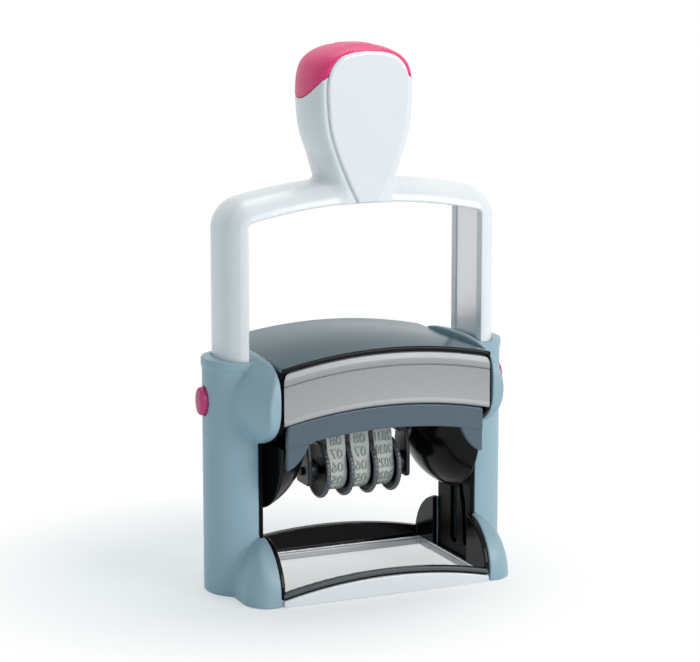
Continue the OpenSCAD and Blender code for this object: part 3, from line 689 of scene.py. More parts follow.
def handle_field(x, y, z):
    """Field of the bow, its legs and the knob body under the cap."""
    gap = bow_gap(x, z)
    bow = fillet(leg_section(LEG_IN + gap, y), LEG_LOW - z, 0.4)
    body = weld(bow, knob_field(x, y, z), size("knob_blend"))
    body = fillet(fillet(body, np.abs(y) - KNOB_Y, 0.4), -gap, 0.6)
    body = fillet(body, CAP_R + 0.06 - np.hypot(y - CAP_Y, z - CAP_C), 0.3)
    channel = np.maximum(gap - STRAP_DEPTH, np.abs(y) - STRAP_Y - 0.1)
    return fillet(body, -channel, 0.25)


def cap_field(x, y, z):
    """Field of the knob's cap."""
    return fillet(knob_field(x, y, z), np.hypot(y - CAP_Y, z - CAP_C) - CAP_R + 0.1, 0.35)


def face_outline():
    """Teardrop outline of a knob plate, (x, z) all round."""
    rows = [(3.9, FACE_LOW)] + [(flat - 0.3, BOW_MID + rise) for rise, flat in KNOB[1:14, :2]]
    rows += [(7.4, BOW_MID + 50.8), (3.8, BOW_MID + 51.4), (0, BOW_MID + 51.6)]
    right = eased(np.array(rows), 6)
    return np.vstack([right, right[-2::-1] * np.array([-1, 1])])


def outline_distance(px, pz, outline):
    """Signed distance to a closed outline, below zero inside."""
    best, odd = np.full(px.shape, 1e9), np.zeros(px.shape, bool)
    for (ax, az), (bx, bz) in zip(outline, np.roll(outline, -1, 0)):
        dx, dz = bx - ax, bz - az
        length = max(dx * dx + dz * dz, 1e-12)
        t = np.clip(((px - ax) * dx + (pz - az) * dz) / length, 0, 1)
        best = np.minimum(best, np.hypot(px - ax - t * dx, pz - az - t * dz))
        if dz:
            odd ^= ((az > pz) != (bz > pz)) & (px < dx * (pz - az) / dz + ax)
    return np.where(odd, -best, best)


FACE_OUTLINE = face_outline()


def face_field(x, y, z):
    """Field of the front knob plate, with a soft rim."""
    rim = fillet(outline_distance(x, z, FACE_OUTLINE), -y - KNOB_Y - FACE_T, 1.0)
    return fillet(rim, y + KNOB_Y, 0.15)


def oval(y, z):
    """Distance to the upright oval of a lock button."""
    v, w = (y - BUTTON_Y) / BUTTON_R, (z - BUTTON_Z) / BUTTON_TALL
    reach = np.maximum(np.hypot(v, w), 1e-6)
    return reach * (reach - 1) / np.maximum(np.hypot(v / BUTTON_R, w / BUTTON_TALL), 1e-6)


# Outline of a bulge from the side, (distance from the middle, z)
BULGE_SIDE = np.vstack([[(-6, 84.0), (-6, 53.4)], eased(np.array([
    (8, 53.4), (13.2, 53.7), (20, 55.8), (24.5, 58.2), (27.6, 61), (29.3, 64), (30, 68), (30, 72.5), (29.4, 76),
    (28, 78.8), (25.6, 81), (22, 82.4), (16, 83.4), (8, 84.0)], float), 3)])


def cheek_field(x, y, z):
    """Field of the right cheek with its column, bulge, feet and socket."""
    edge = size("edge_round")
    plan = np.hypot(np.maximum(x - COL_MID, 0), y) - COL_R
    column = fillet(plan, z - COL_H + 0.3, 0.8)
    lip = fillet(plan - size("collar_lip"), np.abs(z - COL_H + COLLAR_HALF) - COLLAR_HALF, 0.6)
    column = weld(column, lip, 0.3)
    bend = np.hypot(x - BULGE_X + BULGE_R, y) - BULGE_R
    barrel = np.hypot(bend + BULGE_SWELL, z - BULGE_Z) - BULGE_SWELL
    bulge = fillet(barrel, outline_distance(np.abs(y), z, BULGE_SIDE), 0.6)
    dome = np.hypot(np.abs(y) - FOOT_Y + FOOT_H - 2, z - 2.5) - FOOT_H + 2.5
    swell = np.hypot(x - np.where(y < 0, FOOT_X, REAR_X) + FOOT_SWELL, z) - FOOT_SWELL
    foot = fillet(fillet(swell, np.abs(y) - FOOT_Y, FOOT_CORNER), dome, 1.0)
    body = weld(weld(column, bulge, 0.7), foot, 0.7)
    body = fillet(fillet(body, -z, edge), CHEEK_IN - x, edge)
    socket = np.maximum(leg_section(x, y) - SLIDE_GAP, FLOOR_COL - z)
    body = fillet(body, -socket, 0.25)
    for low, high in (
        ((CUT_FROM, -COL_R + 0.2, FLOOR_COL), (COL_IN, COL_R - 0.2, SHAFT_TOP)),
        ((CUT_FROM, -COL_R, -1), (COL_IN, COL_R, WAIST_TOP)),
        ((CUT_FROM, -COL_R - 1.2, 17), (COL_IN, COL_R + 1.2, WAIST_TOP)),
        ((CUT_FROM, -LEG_Y - SLIDE_GAP, FLOOR_COL), (LEG_IN, LEG_Y + SLIDE_GAP, PIVOT_Z + 4.5)),
        TAB_SOCKET,
    ):
        body = np.maximum(body, -block(x, np.abs(y), z, low, high, CUT_EDGE))
    hole = oval(y, z) - 0.25
    return fillet(body, -np.maximum(hole, LEG_OUT - x), 0.3)


def button_field(x, y, z):
    """Field of the right lock button with a soft domed face."""
    edge = oval(y, z)
    middle = ((y - BUTTON_Y) / BUTTON_R) ** 2 + ((z - BUTTON_Z) / BUTTON_TALL) ** 2
    shank = fillet(edge, x - COL_OUT - BUTTON_OUT + 0.5 * middle, 0.9)
    flange = fillet(edge - 0.7, x - FLANGE_OUT, 0.2)
    return np.maximum(weld(shank, flange, 0.1), FLANGE_IN - x)


def base_field(x, y, z):
    """Field of the base frame: floor ring, arched walls, rounded ears and screw tabs."""
    wide, deep = np.abs(x), np.abs(y)
    opening = block(x, y, z, (-OPEN_X, -OPEN_Y, -2), (OPEN_X, OPEN_Y, 6), 0.2)
    ring = np.maximum(block(x, y, z, (-BASE_X, -BASE_Y, 0), (BASE_X, BASE_Y, BASE_FLOOR), 0.2), -opening)
    top = np.where(y < 0, FRONT_TOP, REAR_TOP) - arch_drop(x)
    wall = fillet(np.maximum(np.abs(deep - BASE_Y + 1) - 1, wide - BASE_X), z - top, 0.3)
    ear = fillet(np.hypot(deep - EAR_Y, z - EAR_Z) - EAR_R, np.abs(wide - BASE_X + 0.8) - 0.8, 0.3)
    ear = np.maximum(ear, np.maximum(EAR_IN - deep, deep - BASE_Y))
    tab = block(wide, deep, z, *TAB, 0.2)
    screw = np.hypot(wide - SCREW_X, deep - SCREW_Y)
    hole = np.minimum(screw - SCREW_R, np.maximum(screw - HEAD_R, z - HEAD_H))
    body = np.maximum(np.minimum(np.minimum(ring, wall), np.minimum(ear, tab)), -z)
    return np.maximum(body, -hole)


def housing_field(x, y, z):
    """Field of the pad housing: arched roof, rear and end walls, rails, bevelled skirts and pegs."""
    wide, deep, level = np.abs(x), np.abs(y), z + arch_drop(x)
    roof = block(x, y, level, (-BASE_X, -BASE_Y, ROOF_LOW), (BASE_X, BASE_Y, ROOF_TOP), 0.2)
    rear = block(x, y, level, (-BASE_X, BASE_Y - 1.8, GRIP_LOW), (BASE_X, BASE_Y, ROOF_TOP), 0.2)
    end = block(wide, y, z, (END_IN, -BASE_Y, END_LOW), (BASE_X, BASE_Y, END_TOP), 0.2)
    end = fillet(end, level - ROOF_TOP, 0.2)
    rail = block(wide, y, z, (35.3, -25.3, END_LOW), (37.9, 26.8, PAD_LOW - 0.1), 0.2)
    skirt = block(wide, y, z, (SKIRT_IN, -BASE_Y, SKIRT_LOW), (BASE_X, BASE_Y, SKIRT_TOP), 0.2)
    skirt = fillet(skirt, BEVEL_Y * (deep - BASE_Y) - BEVEL_Z * (z - BEVEL_FROM), 0.3)
    peg = np.maximum(np.hypot(deep - PEG_Y, z - PEG_Z) - PEG_R, np.abs(wide - PEG_MID) - PEG_HALF)
    return np.minimum.reduce([roof, rear, end, rail, skirt, peg])


# Outline of the web at an end of the grip, (distance from the middle, z)
WEB = np.array([
    (GRIP_X, GRIP_LOW), (GRIP_X, 46.7), (34.3, 47.6), (32, 49.6), (30, 52.3), (28.4, 55.4), (27.6, GRIP_LOW)])


def drawer_field(x, y, z):
    """Field of the ink drawer: tray, front wall and the arched grip."""
    level = z + arch_drop(x)
    tray = block(x, y, z, (-TRAY_X, -TRAY_Y, PAD_LOW), (TRAY_X, TRAY_Y, TRAY_TOP), 0.5)
    grip = block(x, y, level, (-GRIP_X, -28.3, GRIP_LOW), (GRIP_X, -TRAY_Y, GRIP_TOP), 0.6)
    wall = block(x, y, level, (-GRIP_X, -27.6, 65.5), (GRIP_X, -TRAY_Y, 82.8), 0.4)
    web = fillet(outline_distance(np.abs(x), z, WEB), np.abs(y + 26.85) - 1.05, 0.4)
    body = np.minimum(np.minimum(tray, weld(grip, web, 0.4)), wall)
    seat = block(x, y, z, (-PAD_X - 0.1, -PAD_Y - 0.1, 50), (PAD_X + 0.1, PAD_Y + 0.1, PAD_TOP), 0.3)
    return np.maximum(body, -seat)


def pad_field(x, y, z):
    """Field of the inked felt pad: soft edges and a slightly crowned face."""
    crown = PAD_CROWN * (1 - (x / PAD_X) ** 2) * (1 - (y / PAD_Y) ** 2)
    slab = block(x, y, z, (-PAD_X, -PAD_Y, PAD_LOW), (PAD_X, PAD_Y, PAD_TOP), 0.7)
    return slab + np.where(z < 65, PAD_CROWN - crown, 0)


# Outline of a domed end, from the window outward: distance from the middle, and radius there
DOME_F = np.linspace(0, 1, 60)
DOME_REACH = np.minimum(HOOD_R + (ROTOR_R - HOOD_R) * DOME_F + 3 * np.sin(math.pi * DOME_F), ROTOR_R)
DOME_X = WIN_X + 1.4 + (ROTOR_OUT - WIN_X - 1.4) * DOME_F - 1.2 * np.sin(math.pi * DOME_F)


def carrier_field(x, y, z):
    """Field of the turning carrier: a plate with a window over two domed ends and their bosses."""
    up, wide, turn = z - PIVOT_Z, np.abs(x), np.hypot(y, z - PIVOT_Z)
    plate = block(x, y, up, (-ROTOR_IN, -CARRIER_Y, CARRIER_LOW), (ROTOR_IN, CARRIER_Y, CARRIER_TOP), 0.4)
    dome = 0.72 * (turn - np.interp(wide, DOME_X, DOME_REACH, left=-20))
    dome = fillet(dome, wide - ROTOR_OUT, 0.8)
    low = np.minimum(np.maximum(up - 5, wide - ROTOR_IN), up - 0.2)
    boss = np.minimum(np.hypot(y, up) - 4.5, np.hypot(y - 9, up) - 3)
    ends = np.maximum(dome, np.minimum(low, np.maximum(boss, ROTOR_IN - wide)))
    window = block(x, y, up, (-WIN_X - 1, -WIN_Y - 1, -1), (WIN_X + 1, WIN_Y + 1, 20), 0.3)
    return np.maximum(np.minimum(plate, ends), -window)


# Outline of a date bracket from the side, (distance from the middle, height over the pivot)
AXLE_UP = WHEEL_Z - PIVOT_Z
BRACKET = softened(
    [(-3, AXLE_UP - 4.6), (5.4, AXLE_UP - 4.6), (5.4, AXLE_UP + 4.4), (4, -3), (7, -1), (7, 5.9), (-3, 5.9)],
    [0, 1.4, 3, 1, 0.5, 0.5, 0])


def bracket_field(x, y, z):
    """Field of the date unit's two brackets, nose and tie bars."""
    up, wide = z - PIVOT_Z, np.abs(x)
    sheet = np.abs(wide - BAND_STEP * 2 - 0.75) - 0.75
    side = fillet(outline_distance(np.abs(y), up, BRACKET), sheet, 0.35)
    boss = np.maximum(np.hypot(y, up - AXLE_UP) - 4, np.abs(wide - 16.65) - 1.7)
    head = block(wide, y, up, (15.1, -5.2, -2.6), (BAND_STEP * 2 + 1, 5.2, 5.4), 0.4)
    side = np.minimum(np.minimum(side, boss), head)
    nose = np.maximum(np.hypot(y, up - NOSE_Z) - NOSE_R, wide - BRACKET_X)
    ties = np.maximum(np.hypot(np.abs(y) - 6.1, up - 1) - 0.8, wide - BRACKET_X)
    return np.minimum(np.minimum(side, nose), ties)


def loop_path(inset, spacing=0.5):
    """Outer line of a band round its hub and the nose: rows of y, z and the outward normal, closed."""
    lean = math.acos((LOOP_LOW_R - LOOP_TOP_R) / (NOSE_Z - AXLE_UP))

    def arc(radius, centre, start, end):
        count = max(2, int(abs(end - start) * radius / spacing))
        turns = np.linspace(start, end, count)
        return [(radius * math.sin(t), centre + radius * math.cos(t), math.sin(t), math.cos(t)) for t in turns]

    wheel = arc(LOOP_LOW_R - inset, AXLE_UP, lean, 2 * math.pi - lean)
    nose = arc(LOOP_TOP_R - inset, NOSE_Z, -lean, lean)

    def straight(a, b):
        a, b = np.array(a), np.array(b)
        count = int(np.linalg.norm((b - a)[:2]) / spacing)
        return [tuple(a + (b - a) * i / count) for i in range(1, count)]

    return np.array(wheel + straight(wheel[-1], nose[0]) + nose + straight(nose[-1], wheel[0]))


def digits(text, height, relief):
    """Raised digits lying flat: points with x across, y up and z out, and faces."""
    curve = bpy.data.curves.new("digit_form", "FONT")
    curve.body, curve.size, curve.extrude, curve.resolution_u = text, height * 1.4, relief / 2, 3
    curve.align_x, curve.align_y = "CENTER", "CENTER"
    form = bpy.data.objects.new("digit_form", curve)
    bpy.context.scene.collection.objects.link(form)
    shape = bpy.data.meshes.new_from_object(form.evaluated_get(bpy.context.evaluated_depsgraph_get()))
    points = np.array([v.co for v in shape.vertices])
    faces = [tuple(p.vertices) for p in shape.polygons]
    bpy.data.objects.remove(form)
    bpy.data.curves.remove(curve)
    bpy.data.meshes.remove(shape)
    points[:, :2] -= (points[:, :2].max(0) + points[:, :2].min(0)) / 2
    points[:, 1] *= height / max(np.ptp(points[:, 1]), 1e-6)
    return points, faces


def date_band(number, words):
    """A band with its raised digits: points and faces."""
    relief = size("digit_relief")
    path = loop_path(relief)
    middle = number * BAND_STEP
    edge = BAND_W / 2
    ring = [(-edge, -0.55), (-edge, -0.2), (0.2 - edge, 0), (edge - 0.2, 0), (edge, -0.2), (edge, -0.55),
            (edge - 0.2, -BAND_T), (0.2 - edge, -BAND_T)]
    points = [(middle + u, y + h * ny, PIVOT_Z + z + h * nz) for y, z, ny, nz in path for u, h in ring]
    faces = ring_faces(len(ring), len(path), True)
    meshes = [(points, faces)]
    closed = np.vstack([path, path[:1]])
    run = np.concatenate([[0], np.cumsum(np.linalg.norm(np.diff(closed[:, :2], axis=0), axis=1))])
    pitch = run[-1] / len(words)
    for k, word in enumerate(words):
        form, ends = digits(word, size("digit_height"), relief + 0.2)
        along = (k + 0.5) * pitch + form[:, 1]
        y, z, ny, nz = (np.interp(along, run, closed[:, i]) for i in range(4))
        out = form[:, 2] + (relief - 0.2) / 2
        width = min(1.0, (BAND_W - 1) / max(np.ptp(form[:, 0]), 1e-6))
        meshes.append((np.stack([middle - form[:, 0] * width, y + out * ny, PIVOT_Z + z + out * nz], 1), ends))
    return (*joined(*meshes), len(faces))


def thumb_disc(x):
    """A notched thumb disc with a dished face: points and faces."""
    notches = bpy.context.scene.stamp_sizes.wheel_notches
    side = [(0.4, WHEEL_R), (0.75, 9.7), (0.85, 9.2), (0.8, 8.4), (0.55, 8.0), (0.55, BORE_R)]
    rings = [(-a, r) for a, r in reversed(side)] + side
    cut = [0.14, 0.1, 0, 0, 0, 0]
    depth = cut[::-1] + cut

    def ripple(k, angles):
        return -depth[k] * np.clip(np.cos(notches * angles), 0, 1) ** 1.5

    return lathe_x([(x + a, r) for a, r in rings], notches * 8, (0, WHEEL_Z), ripple)


def date_wheel(number, twin):
    """A date wheel: its hub under the band and its thumb discs."""
    x = number * BAND_STEP
    low, high = x - BAND_STEP / 2 + (0 if twin else 1.1), x + BAND_STEP / 2
    rings = [(low, BORE_R), (low, 6.0), (low + 0.2, HUB_R), (high - 0.2, HUB_R), (high, 6.0), (high, BORE_R)]
    hub = lathe_x(rings, 64, (0, WHEEL_Z))
    discs = [thumb_disc(high)] + ([thumb_disc(low)] if twin else [])
    return joined(hub, *discs)


def spring_coil(x):
    """One return spring: a wire wound on a vertical axis, with closed ends."""
    ring, steps = 10, 28
    count = bpy.context.scene.stamp_sizes.spring_turns * steps
    low, high = FLOOR_COL + 0.1, LEG_LOW - 0.1
    points = []
    for i in range(count + 1):
        a, z = 2 * math.pi * i / steps, low + WIRE_R + (high - low - 2 * WIRE_R) * i / count
        for k in range(ring):
            b = 2 * math.pi * k / ring
            r = COIL_R + WIRE_R * math.cos(b)
            points.append((x + r * math.cos(a), r * math.sin(a), z + WIRE_R * math.sin(b)))
    return np.array(points), ring_faces(ring, count + 1, False)


class STAMP_OT_finishes(bpy.types.Operator):
    """Makes the finishes and puts them on the CAD nodes that stay in sight"""

    bl_idname = "stamp.finishes"
    bl_label = "Finishes"

    def execute(self, context):
        tone = context.scene.stamp_colours
        moulded("cheek_plastic", tone.cheek, 0.42, relief=0.14)
        moulded("bow_plastic", tone.bow, 0.26, relief=0.05, coat=0.15)
        moulded("white_gloss", tone.gloss, 0.14, relief=0.02, coat=0.5)
        moulded("pink_plastic", tone.cap, 0.40, relief=0.12)
        moulded("button_plastic", tone.button, 0.36, relief=0.10)
        moulded("smoke_gloss", tone.cover, 0.2, relief=0.02, shine=0.06)
        moulded("black_gloss", tone.black, 0.16, relief=0.03, soften=SOFT_EDGE, shine=0.16)
        moulded("black_satin", tone.black, 0.42, relief=0.12, soften=SOFT_EDGE, shine=0.06)
        moulded("slate_plastic", tone.grip, 0.36, relief=0.12)
        moulded("trim_plastic", tone.trim, 0.34, relief=0.10)
        moulded("wheel_plastic", tone.rim, 0.34, relief=0.10)
        moulded("bracket_plastic", tone.bracket, 0.34, relief=0.10, shine=0.3)
        satin_panel("silver_satin", tone.panel)
        drawn_steel("bright_steel", scaled(tone.steel, 1.25), 0.05, (1, 1, 0.05), relief=0.012)
        drawn_steel("rim_steel", tone.steel, 0.2, (0.05, 0.05, 1))
        drawn_steel("pin_steel", scaled(tone.steel, 0.8), 0.26, (0.1, 1, 1))
        lined_frame("lined_black", tone.black, tone.steel)
        rubber("band_rubber", scaled(tone.band, 1.35), 0.6)
        rubber("digit_rubber", scaled(tone.band, 0.72), 0.5)
        rubber("die_rubber", tone.die, 0.6, soften=FINE_EDGE)
        inked_felt("inked_felt", tone.felt)
        kept = {
            "black_satin": ("text_plate", "left_side_plate", "right_side_plate", "date_axle"),
            "bright_steel": ("steel_bow",),
            "rim_steel": ("base_rim",),
            "pin_steel": ("base_screws", "platen_axles", "cam_pins"),
            "die_rubber": ("text_die",),
        }
        for name, nodes in kept.items():
            for node in nodes:
                for slot in frame["nodes"][node].material_slots:
                    slot.material = finish_of(name)
        return {"FINISHED"}


class STAMP_OT_cheeks(bpy.types.Operator):
    """Builds the two side mouldings"""

    bl_idname = "stamp.cheeks"
    bl_label = "Side cheeks"

    def execute(self, context):
        cell = size("moulding_cell")
        right = surface_net(cheek_field, (CHEEK_IN, -FOOT_Y, 0), (COL_OUT, FOOT_Y, CHEEK_TOP), cell)
        for side, (points, quads, normals) in (("right", right), ("left", mirrored(*right))):
            piece(f"{side}_cheek_moulding", points, quads, "cheek_plastic", "frame",
                  f"{side}_cheek", normals)
        return {"FINISHED"}


class STAMP_OT_buttons(bpy.types.Operator):
    """Builds the two lock buttons"""

    bl_idname = "stamp.buttons"
    bl_label = "Lock buttons"

    def execute(self, context):
        right = surface_net(button_field, (FLANGE_IN, -4, 61), (COL_OUT + BUTTON_OUT, 6, 73), 0.35)
        for side, (points, quads, normals) in (("right", right), ("left", mirrored(*right))):
            piece(f"{side}_oval_button", points, quads, "button_plastic", f"{side}_button",
                  f"{side}_lock_button", normals)
        return {"FINISHED"}


class STAMP_OT_handle(bpy.types.Operator):
    """Builds the bow with its knob, the cap and the two face plates"""

    bl_idname = "stamp.handle"
    bl_label = "Handle and knob"

    def execute(self, context):
        cell = size("moulding_cell")
        top = BOW_MID + KNOB[-1, 0]
        moulding("bow_moulding", handle_field, (-LEG_OUT, -KNOB_Y, LEG_LOW), (LEG_OUT, KNOB_Y, top), cell,
                 "bow_plastic", "handle", "handle_bow", "bow_white")
        moulding("cap_moulding", cap_field, (-CAP_X, -KNOB_Y, CAP_C - CAP_R), (CAP_X, KNOB_Y, top), 0.45,
                 "pink_plastic", "handle", "knob_cap", "cap_pink")
        low, high = span("knob_front_plate")
        low[2] = FACE_LOW
        front = surface_net(face_field, low, high, 0.4)
        for side, (points, quads, normals) in (("front", front), ("rear", mirrored(*front, (1, -1, 1)))):
            piece(f"{side}_face_plate", points, quads, "white_gloss", "handle",
                  f"knob_{side}_plate", normals)
        return {"FINISHED"}


class STAMP_OT_housing(bpy.types.Operator):
    """Builds the pad housing, the top cover, the two silver panels, the ink drawer and its pad"""

    bl_idname = "stamp.housing"
    bl_label = "Ink housing"

    def execute(self, context):
        moulding("housing_moulding", housing_field, *span("pad_housing"), 0.6,
                 "black_satin", "frame", "pad_housing", "black_plastic")
        outline = softened(
            [(-COVER_Y, COVER_LOW), (-COVER_Y, COVER_TOP), (COVER_Y, COVER_TOP), (COVER_Y, COVER_LOW)],
            [0.2, 0.7, 0.7, 0.2])
        points, faces = arch_sweep(outline, COVER_X)
        cover = piece("cover_shell", points, faces, ["smoke_gloss", "black_gloss"], "frame", "top_cover",
                      crease=35)
        # The cover's front, rear and under faces take the black finish: painted shade along its edge
        second_finish(cover, lambda face: abs(face.normal.y) > 0.3 or face.normal.z < -0.5)
        low, top, strip = PANEL_LOW, PANEL_TOP, size("strip_height")
        outline = softened(
            [(-BASE_Y, low), (-29.4, low), (-29.8, low + 0.4), (-29.57, low + 1.7), (-29.5, low + 2.0),
             (-29.5, top - strip - 0.4), (-29.2, top - strip - 0.1), (-29.75, top - strip + 0.3),
             (-29.6, top - 2.1), (-29.15, top - 0.3), (-BASE_Y, top)],
            [0, 0.2, 0.2, 0, 0, 0.15, 0, 0.3, 2.0, 0.25, 0])
        points, faces = arch_sweep(outline, PANEL_X)
        level = points[:, 2] + arch_drop(points[:, 0])
        rise = np.clip(level - top + PANEL_END_R, 0, PANEL_END_R)
        points[:, 0] *= 1 - (PANEL_END_R - np.sqrt(PANEL_END_R ** 2 - rise ** 2)) / PANEL_X
        points[:, 2] = level - arch_drop(points[:, 0])
        piece("front_silver_panel", points, faces, "silver_satin", "cassette", "front_panel",
              crease=30)
        piece("rear_silver_panel", front_to_back(points), faces, "silver_satin", "frame", "rear_panel",
              crease=30)
        moulding("ink_drawer", drawer_field, (-TRAY_X, -28.4, 46), (TRAY_X, TRAY_Y, 83), 0.6,
                 "slate_plastic", "cassette", "ink_cassette", "grip_blue")
        pad = moulding("felt_pad", pad_field, (-PAD_X, -PAD_Y, 63), (PAD_X, PAD_Y, PAD_TOP), 0.8,
                       "inked_felt", "cassette", "ink_pad", "felt")
        return {"FINISHED"}


class STAMP_OT_base(bpy.types.Operator):
    """Builds the base frame with its pale plates and dark trim"""

    bl_idname = "stamp.base"
    bl_label = "Base frame, plates and trim"

    def execute(self, context):
        cell = size("moulding_cell")
        moulding("base_moulding", base_field, *span("base_frame"), cell,
                 "lined_black", "frame", "base_frame", "black_plastic")
        corners = [(-BASE_Y, PLATE_LOW), (-PLATE_Y, PLATE_LOW), (-PLATE_Y, PLATE_TOP), (-BASE_Y, PLATE_TOP)]
        outline = softened(corners, [0.2, 0.3, 0.5, 0.2])
        follow = (outline[:, 1] > 3).astype(float)
        plate = arch_sweep(outline, PLATE_X, follow)
        for name, turn, top in (("front", np.array, FRONT_TOP), ("rear", front_to_back, REAR_TOP)):
            outline = softened(
                [(-BASE_Y, TRIM_LOW), (-29.0, TRIM_LOW), (-29.0, 7.4),
                 (-TRIM_Y, 7.5), (-TRIM_Y, top), (-BASE_Y, top)],
                [0, 0, 0, 0.2, 0.4, 0])
            strip = arch_sweep(outline, PLATE_X)
            piece(f"{name}_white_plate", turn(plate[0]), plate[1], "white_gloss", "frame", f"{name}_base_plate",
                  crease=35)
            trim = piece(f"{name}_trim_strip", turn(strip[0]), strip[1], ["trim_plastic", "black_gloss"], "frame",
                         f"{name}_trim", crease=35)
            # Faces of the trim's recess take the black finish: a painted shadow line
            second_finish(trim, lambda face: face.center.z / MM + arch_drop(face.center.x / MM) < TRIM_SHADOW_TOP)
        return {"FINISHED"}


class STAMP_OT_platen(bpy.types.Operator):
    """Builds the turning carrier and the date unit with its bands and wheels"""

    bl_idname = "stamp.platen"
    bl_label = "Platen and date unit"

    def execute(self, context):
        moulding("carrier_moulding", carrier_field, (-ROTOR_OUT, -ROTOR_R, PIVOT_Z - ROTOR_R),
                 (ROTOR_OUT, ROTOR_R, PIVOT_Z + CARRIER_TOP), 0.6,
                 "black_gloss", "platen", "platen_carrier", "black_plastic")
        moulding("date_brackets", bracket_field, *span("date_frame"), 0.4,
                 "bracket_plastic", "platen", "date_frame", "black_plastic")
        days = [f"{n:02d}" for n in range(1, 17)]
        months = [f"{n % 12 + 1:02d}" for n in range(16)]
        years = [f"{n}" for n in range(2024, 2040)]
        for number, name, words in ((-1, "day", days), (0, "month", months), (1, "year", years)):
            points, faces, ground = date_band(number, words)
            band = piece(f"{name}_digit_band", points, faces, ["band_rubber", "digit_rubber"], "platen",
                         f"{name}_band", crease=40)
            second_finish(band, lambda face: face.index >= ground)
            points, faces = date_wheel(number, name == "day")
            wheel = piece(f"{name}_thumb_wheel", points, faces, ["black_satin", "wheel_plastic"], f"{name}_wheel",
                          f"{name}_wheel", crease=35)
            second_finish(wheel, lambda face: math.hypot(face.center.y / MM, face.center.z / MM - WHEEL_Z) > RIM_FROM)
        return {"FINISHED"}


class STAMP_OT_springs(bpy.types.Operator):
    """Winds the two return springs inside the columns"""

    bl_idname = "stamp.springs"
    bl_label = "Return springs"

    def execute(self, context):
        middle = span("return_springs")[1][0] - (COIL_R + WIRE_R)
        points, faces = joined(spring_coil(middle), spring_coil(-middle))
        coils = piece("return_coils", points, faces, "pin_steel", "frame", "return_springs",
                      crease=60)
        length = LEG_LOW - FLOOR_COL - 0.1
        (length - STROKE) / length
        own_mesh(coils)
        return {"FINISHED"}


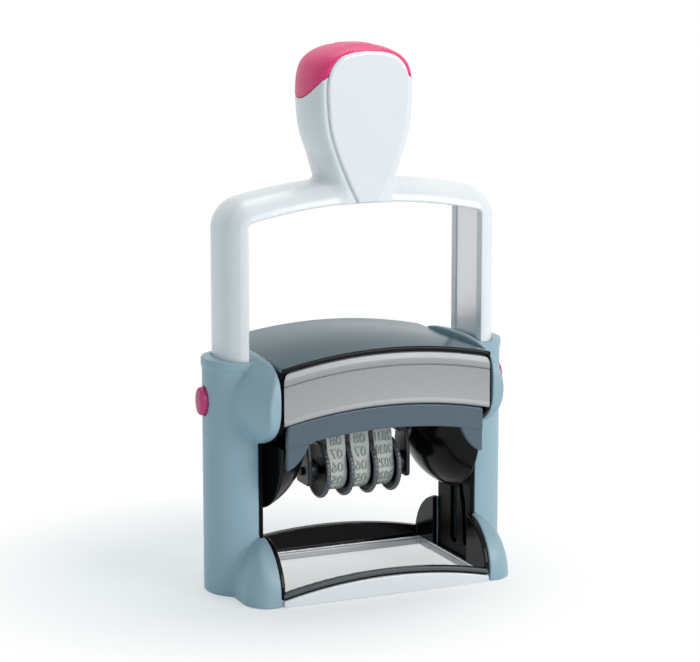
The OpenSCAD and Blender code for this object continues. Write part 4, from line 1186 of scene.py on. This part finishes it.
class STAMP_OT_stage(bpy.types.Operator):
    """Sets the pale floor, the soft light and the camera"""

    bl_idname = "stamp.stage"
    bl_label = "Floor, light and camera"

    def execute(self, context):
        scene = context.scene
        scene.view_settings.view_transform = "Standard"
        self.lay_floor(scene)
        self.light_world(scene)
        for name, spot, width, power, tint in LAMPS:
            lamp = bpy.data.lights.new(name, "AREA")
            lamp.energy, lamp.size, lamp.color = power, width, tint
            holder = bpy.data.objects.new(name, lamp)
            holder.location = spot
            holder.rotation_euler = (Vector(LAMP_AIM) - holder.location).to_track_quat("-Z", "Y").to_euler()
            scene.collection.objects.link(holder)
        self.set_camera(scene)
        return {"FINISHED"}

    def lay_floor(self, scene):
        """A wide floor of lit paper that shows the real shadow inside a darker pool of painted shade, set toward the
        shadow's side, and fades to white.
        """
        finish = Finish("floor_paper")
        spot = finish.place()
        # Nearer the spot less white shows, so the floor is darker there: painted shade around the real shadow
        far = finish.node("ShaderNodeVectorMath", {"operation": "DISTANCE"}, {0: spot, 1: SHADE_SPOT}, out="Value")
        fade = finish.node("ShaderNodeMapRange", {"interpolation_type": "SMOOTHSTEP"}, {
            "Value": far, "From Min": SHADE_NEAR, "From Max": SHADE_FAR, "To Min": 0.5, "To Max": 1.0})
        grain = finish.noise(spot, 300, 3)
        tone = finish.blend(grain, (0.84, 0.93, 0.97), (0.88, 0.95, 0.98))
        paper = finish.node("ShaderNodeBsdfPrincipled", {}, {
            "Base Color": tone, "Roughness": 1.0, "Specular IOR Level": 0.0})
        white = finish.node("ShaderNodeEmission", {}, {"Color": (1, 1, 1), "Strength": 1.0})
        finish.close(finish.node("ShaderNodeMixShader", {}, {0: fade * finish.seen(), 1: paper, 2: white}))
        mesh = bpy.data.meshes.new("studio_floor")
        corners = [(x * FLOOR_REACH, y * FLOOR_REACH, 0) for x, y in ((-1, -1), (1, -1), (1, 1), (-1, 1))]
        mesh.from_pydata(corners, [], [(0, 1, 2, 3)])
        mesh.materials.append(finish.material)
        floor = bpy.data.objects.new("studio_floor", mesh)
        floor.location.z = -FLOOR_DROP
        scene.collection.objects.link(floor)

    def light_world(self, scene):
        """Even pale surroundings: white where they are seen or reflected, softer as light."""
        scene.world = bpy.data.worlds.new("studio")
        sky = Finish("studio", scene.world)
        seen = sky.seen()
        tone = sky.blend(seen, (0.86, 0.98, 1.0), (1, 1, 1))
        sky.close(sky.node("ShaderNodeBackground", {}, {"Color": tone, "Strength": 0.38 + 0.62 * seen}),
                  "ShaderNodeOutputWorld")

    def set_camera(self, scene):
        """The camera at the photograph's angle."""
        turn, rise = math.radians(VIEW_TURN), math.radians(VIEW_RISE)
        back = Vector((math.sin(turn) * math.cos(rise), -math.cos(turn) * math.cos(rise), math.sin(rise)))
        data = bpy.data.cameras.new("view")
        data.lens, data.sensor_width, data.sensor_fit = VIEW_LENS, 36.0, "HORIZONTAL"
        data.clip_start, data.clip_end = 0.01, 50.0
        holder = bpy.data.objects.new("view", data)
        holder.location = Vector(VIEW_AIM) + back * VIEW_DISTANCE
        holder.rotation_euler = (-back).to_track_quat("-Z", "Y").to_euler()
        scene.collection.objects.link(holder)
        scene.camera = holder


OPERATORS = (STAMP_OT_finishes, STAMP_OT_cheeks, STAMP_OT_buttons, STAMP_OT_handle, STAMP_OT_housing,
             STAMP_OT_base, STAMP_OT_platen, STAMP_OT_springs, STAMP_OT_stage)


class STAMP_PT_dresser(bpy.types.Panel):
    """Lists the steps that dress the stamp"""

    bl_idname = "STAMP_PT_dresser"
    bl_label = "Date stamp"
    bl_space_type = "VIEW_3D"
    bl_region_type = "UI"
    bl_category = "Stamp"

    def draw(self, context):
        for step in OPERATORS:
            self.layout.operator(step.bl_idname)
        for group in (context.scene.stamp_sizes, context.scene.stamp_colours):
            for name in group.__annotations__:
                self.layout.prop(group, name)


CLASSES = (StampSizes, StampColours, *OPERATORS, STAMP_PT_dresser)


def register():
    for each in CLASSES:
        bpy.utils.register_class(each)
    bpy.types.Scene.stamp_sizes = PointerProperty(type=StampSizes)
    bpy.types.Scene.stamp_colours = PointerProperty(type=StampColours)


def unregister():
    del bpy.types.Scene.stamp_colours
    del bpy.types.Scene.stamp_sizes
    for each in reversed(CLASSES):
        bpy.utils.unregister_class(each)


def main():
    register()
    for step in OPERATORS:
        group, name = step.bl_idname.split(".")
        getattr(getattr(bpy.ops, group), name)()


if __name__ == "__main__":
    main()
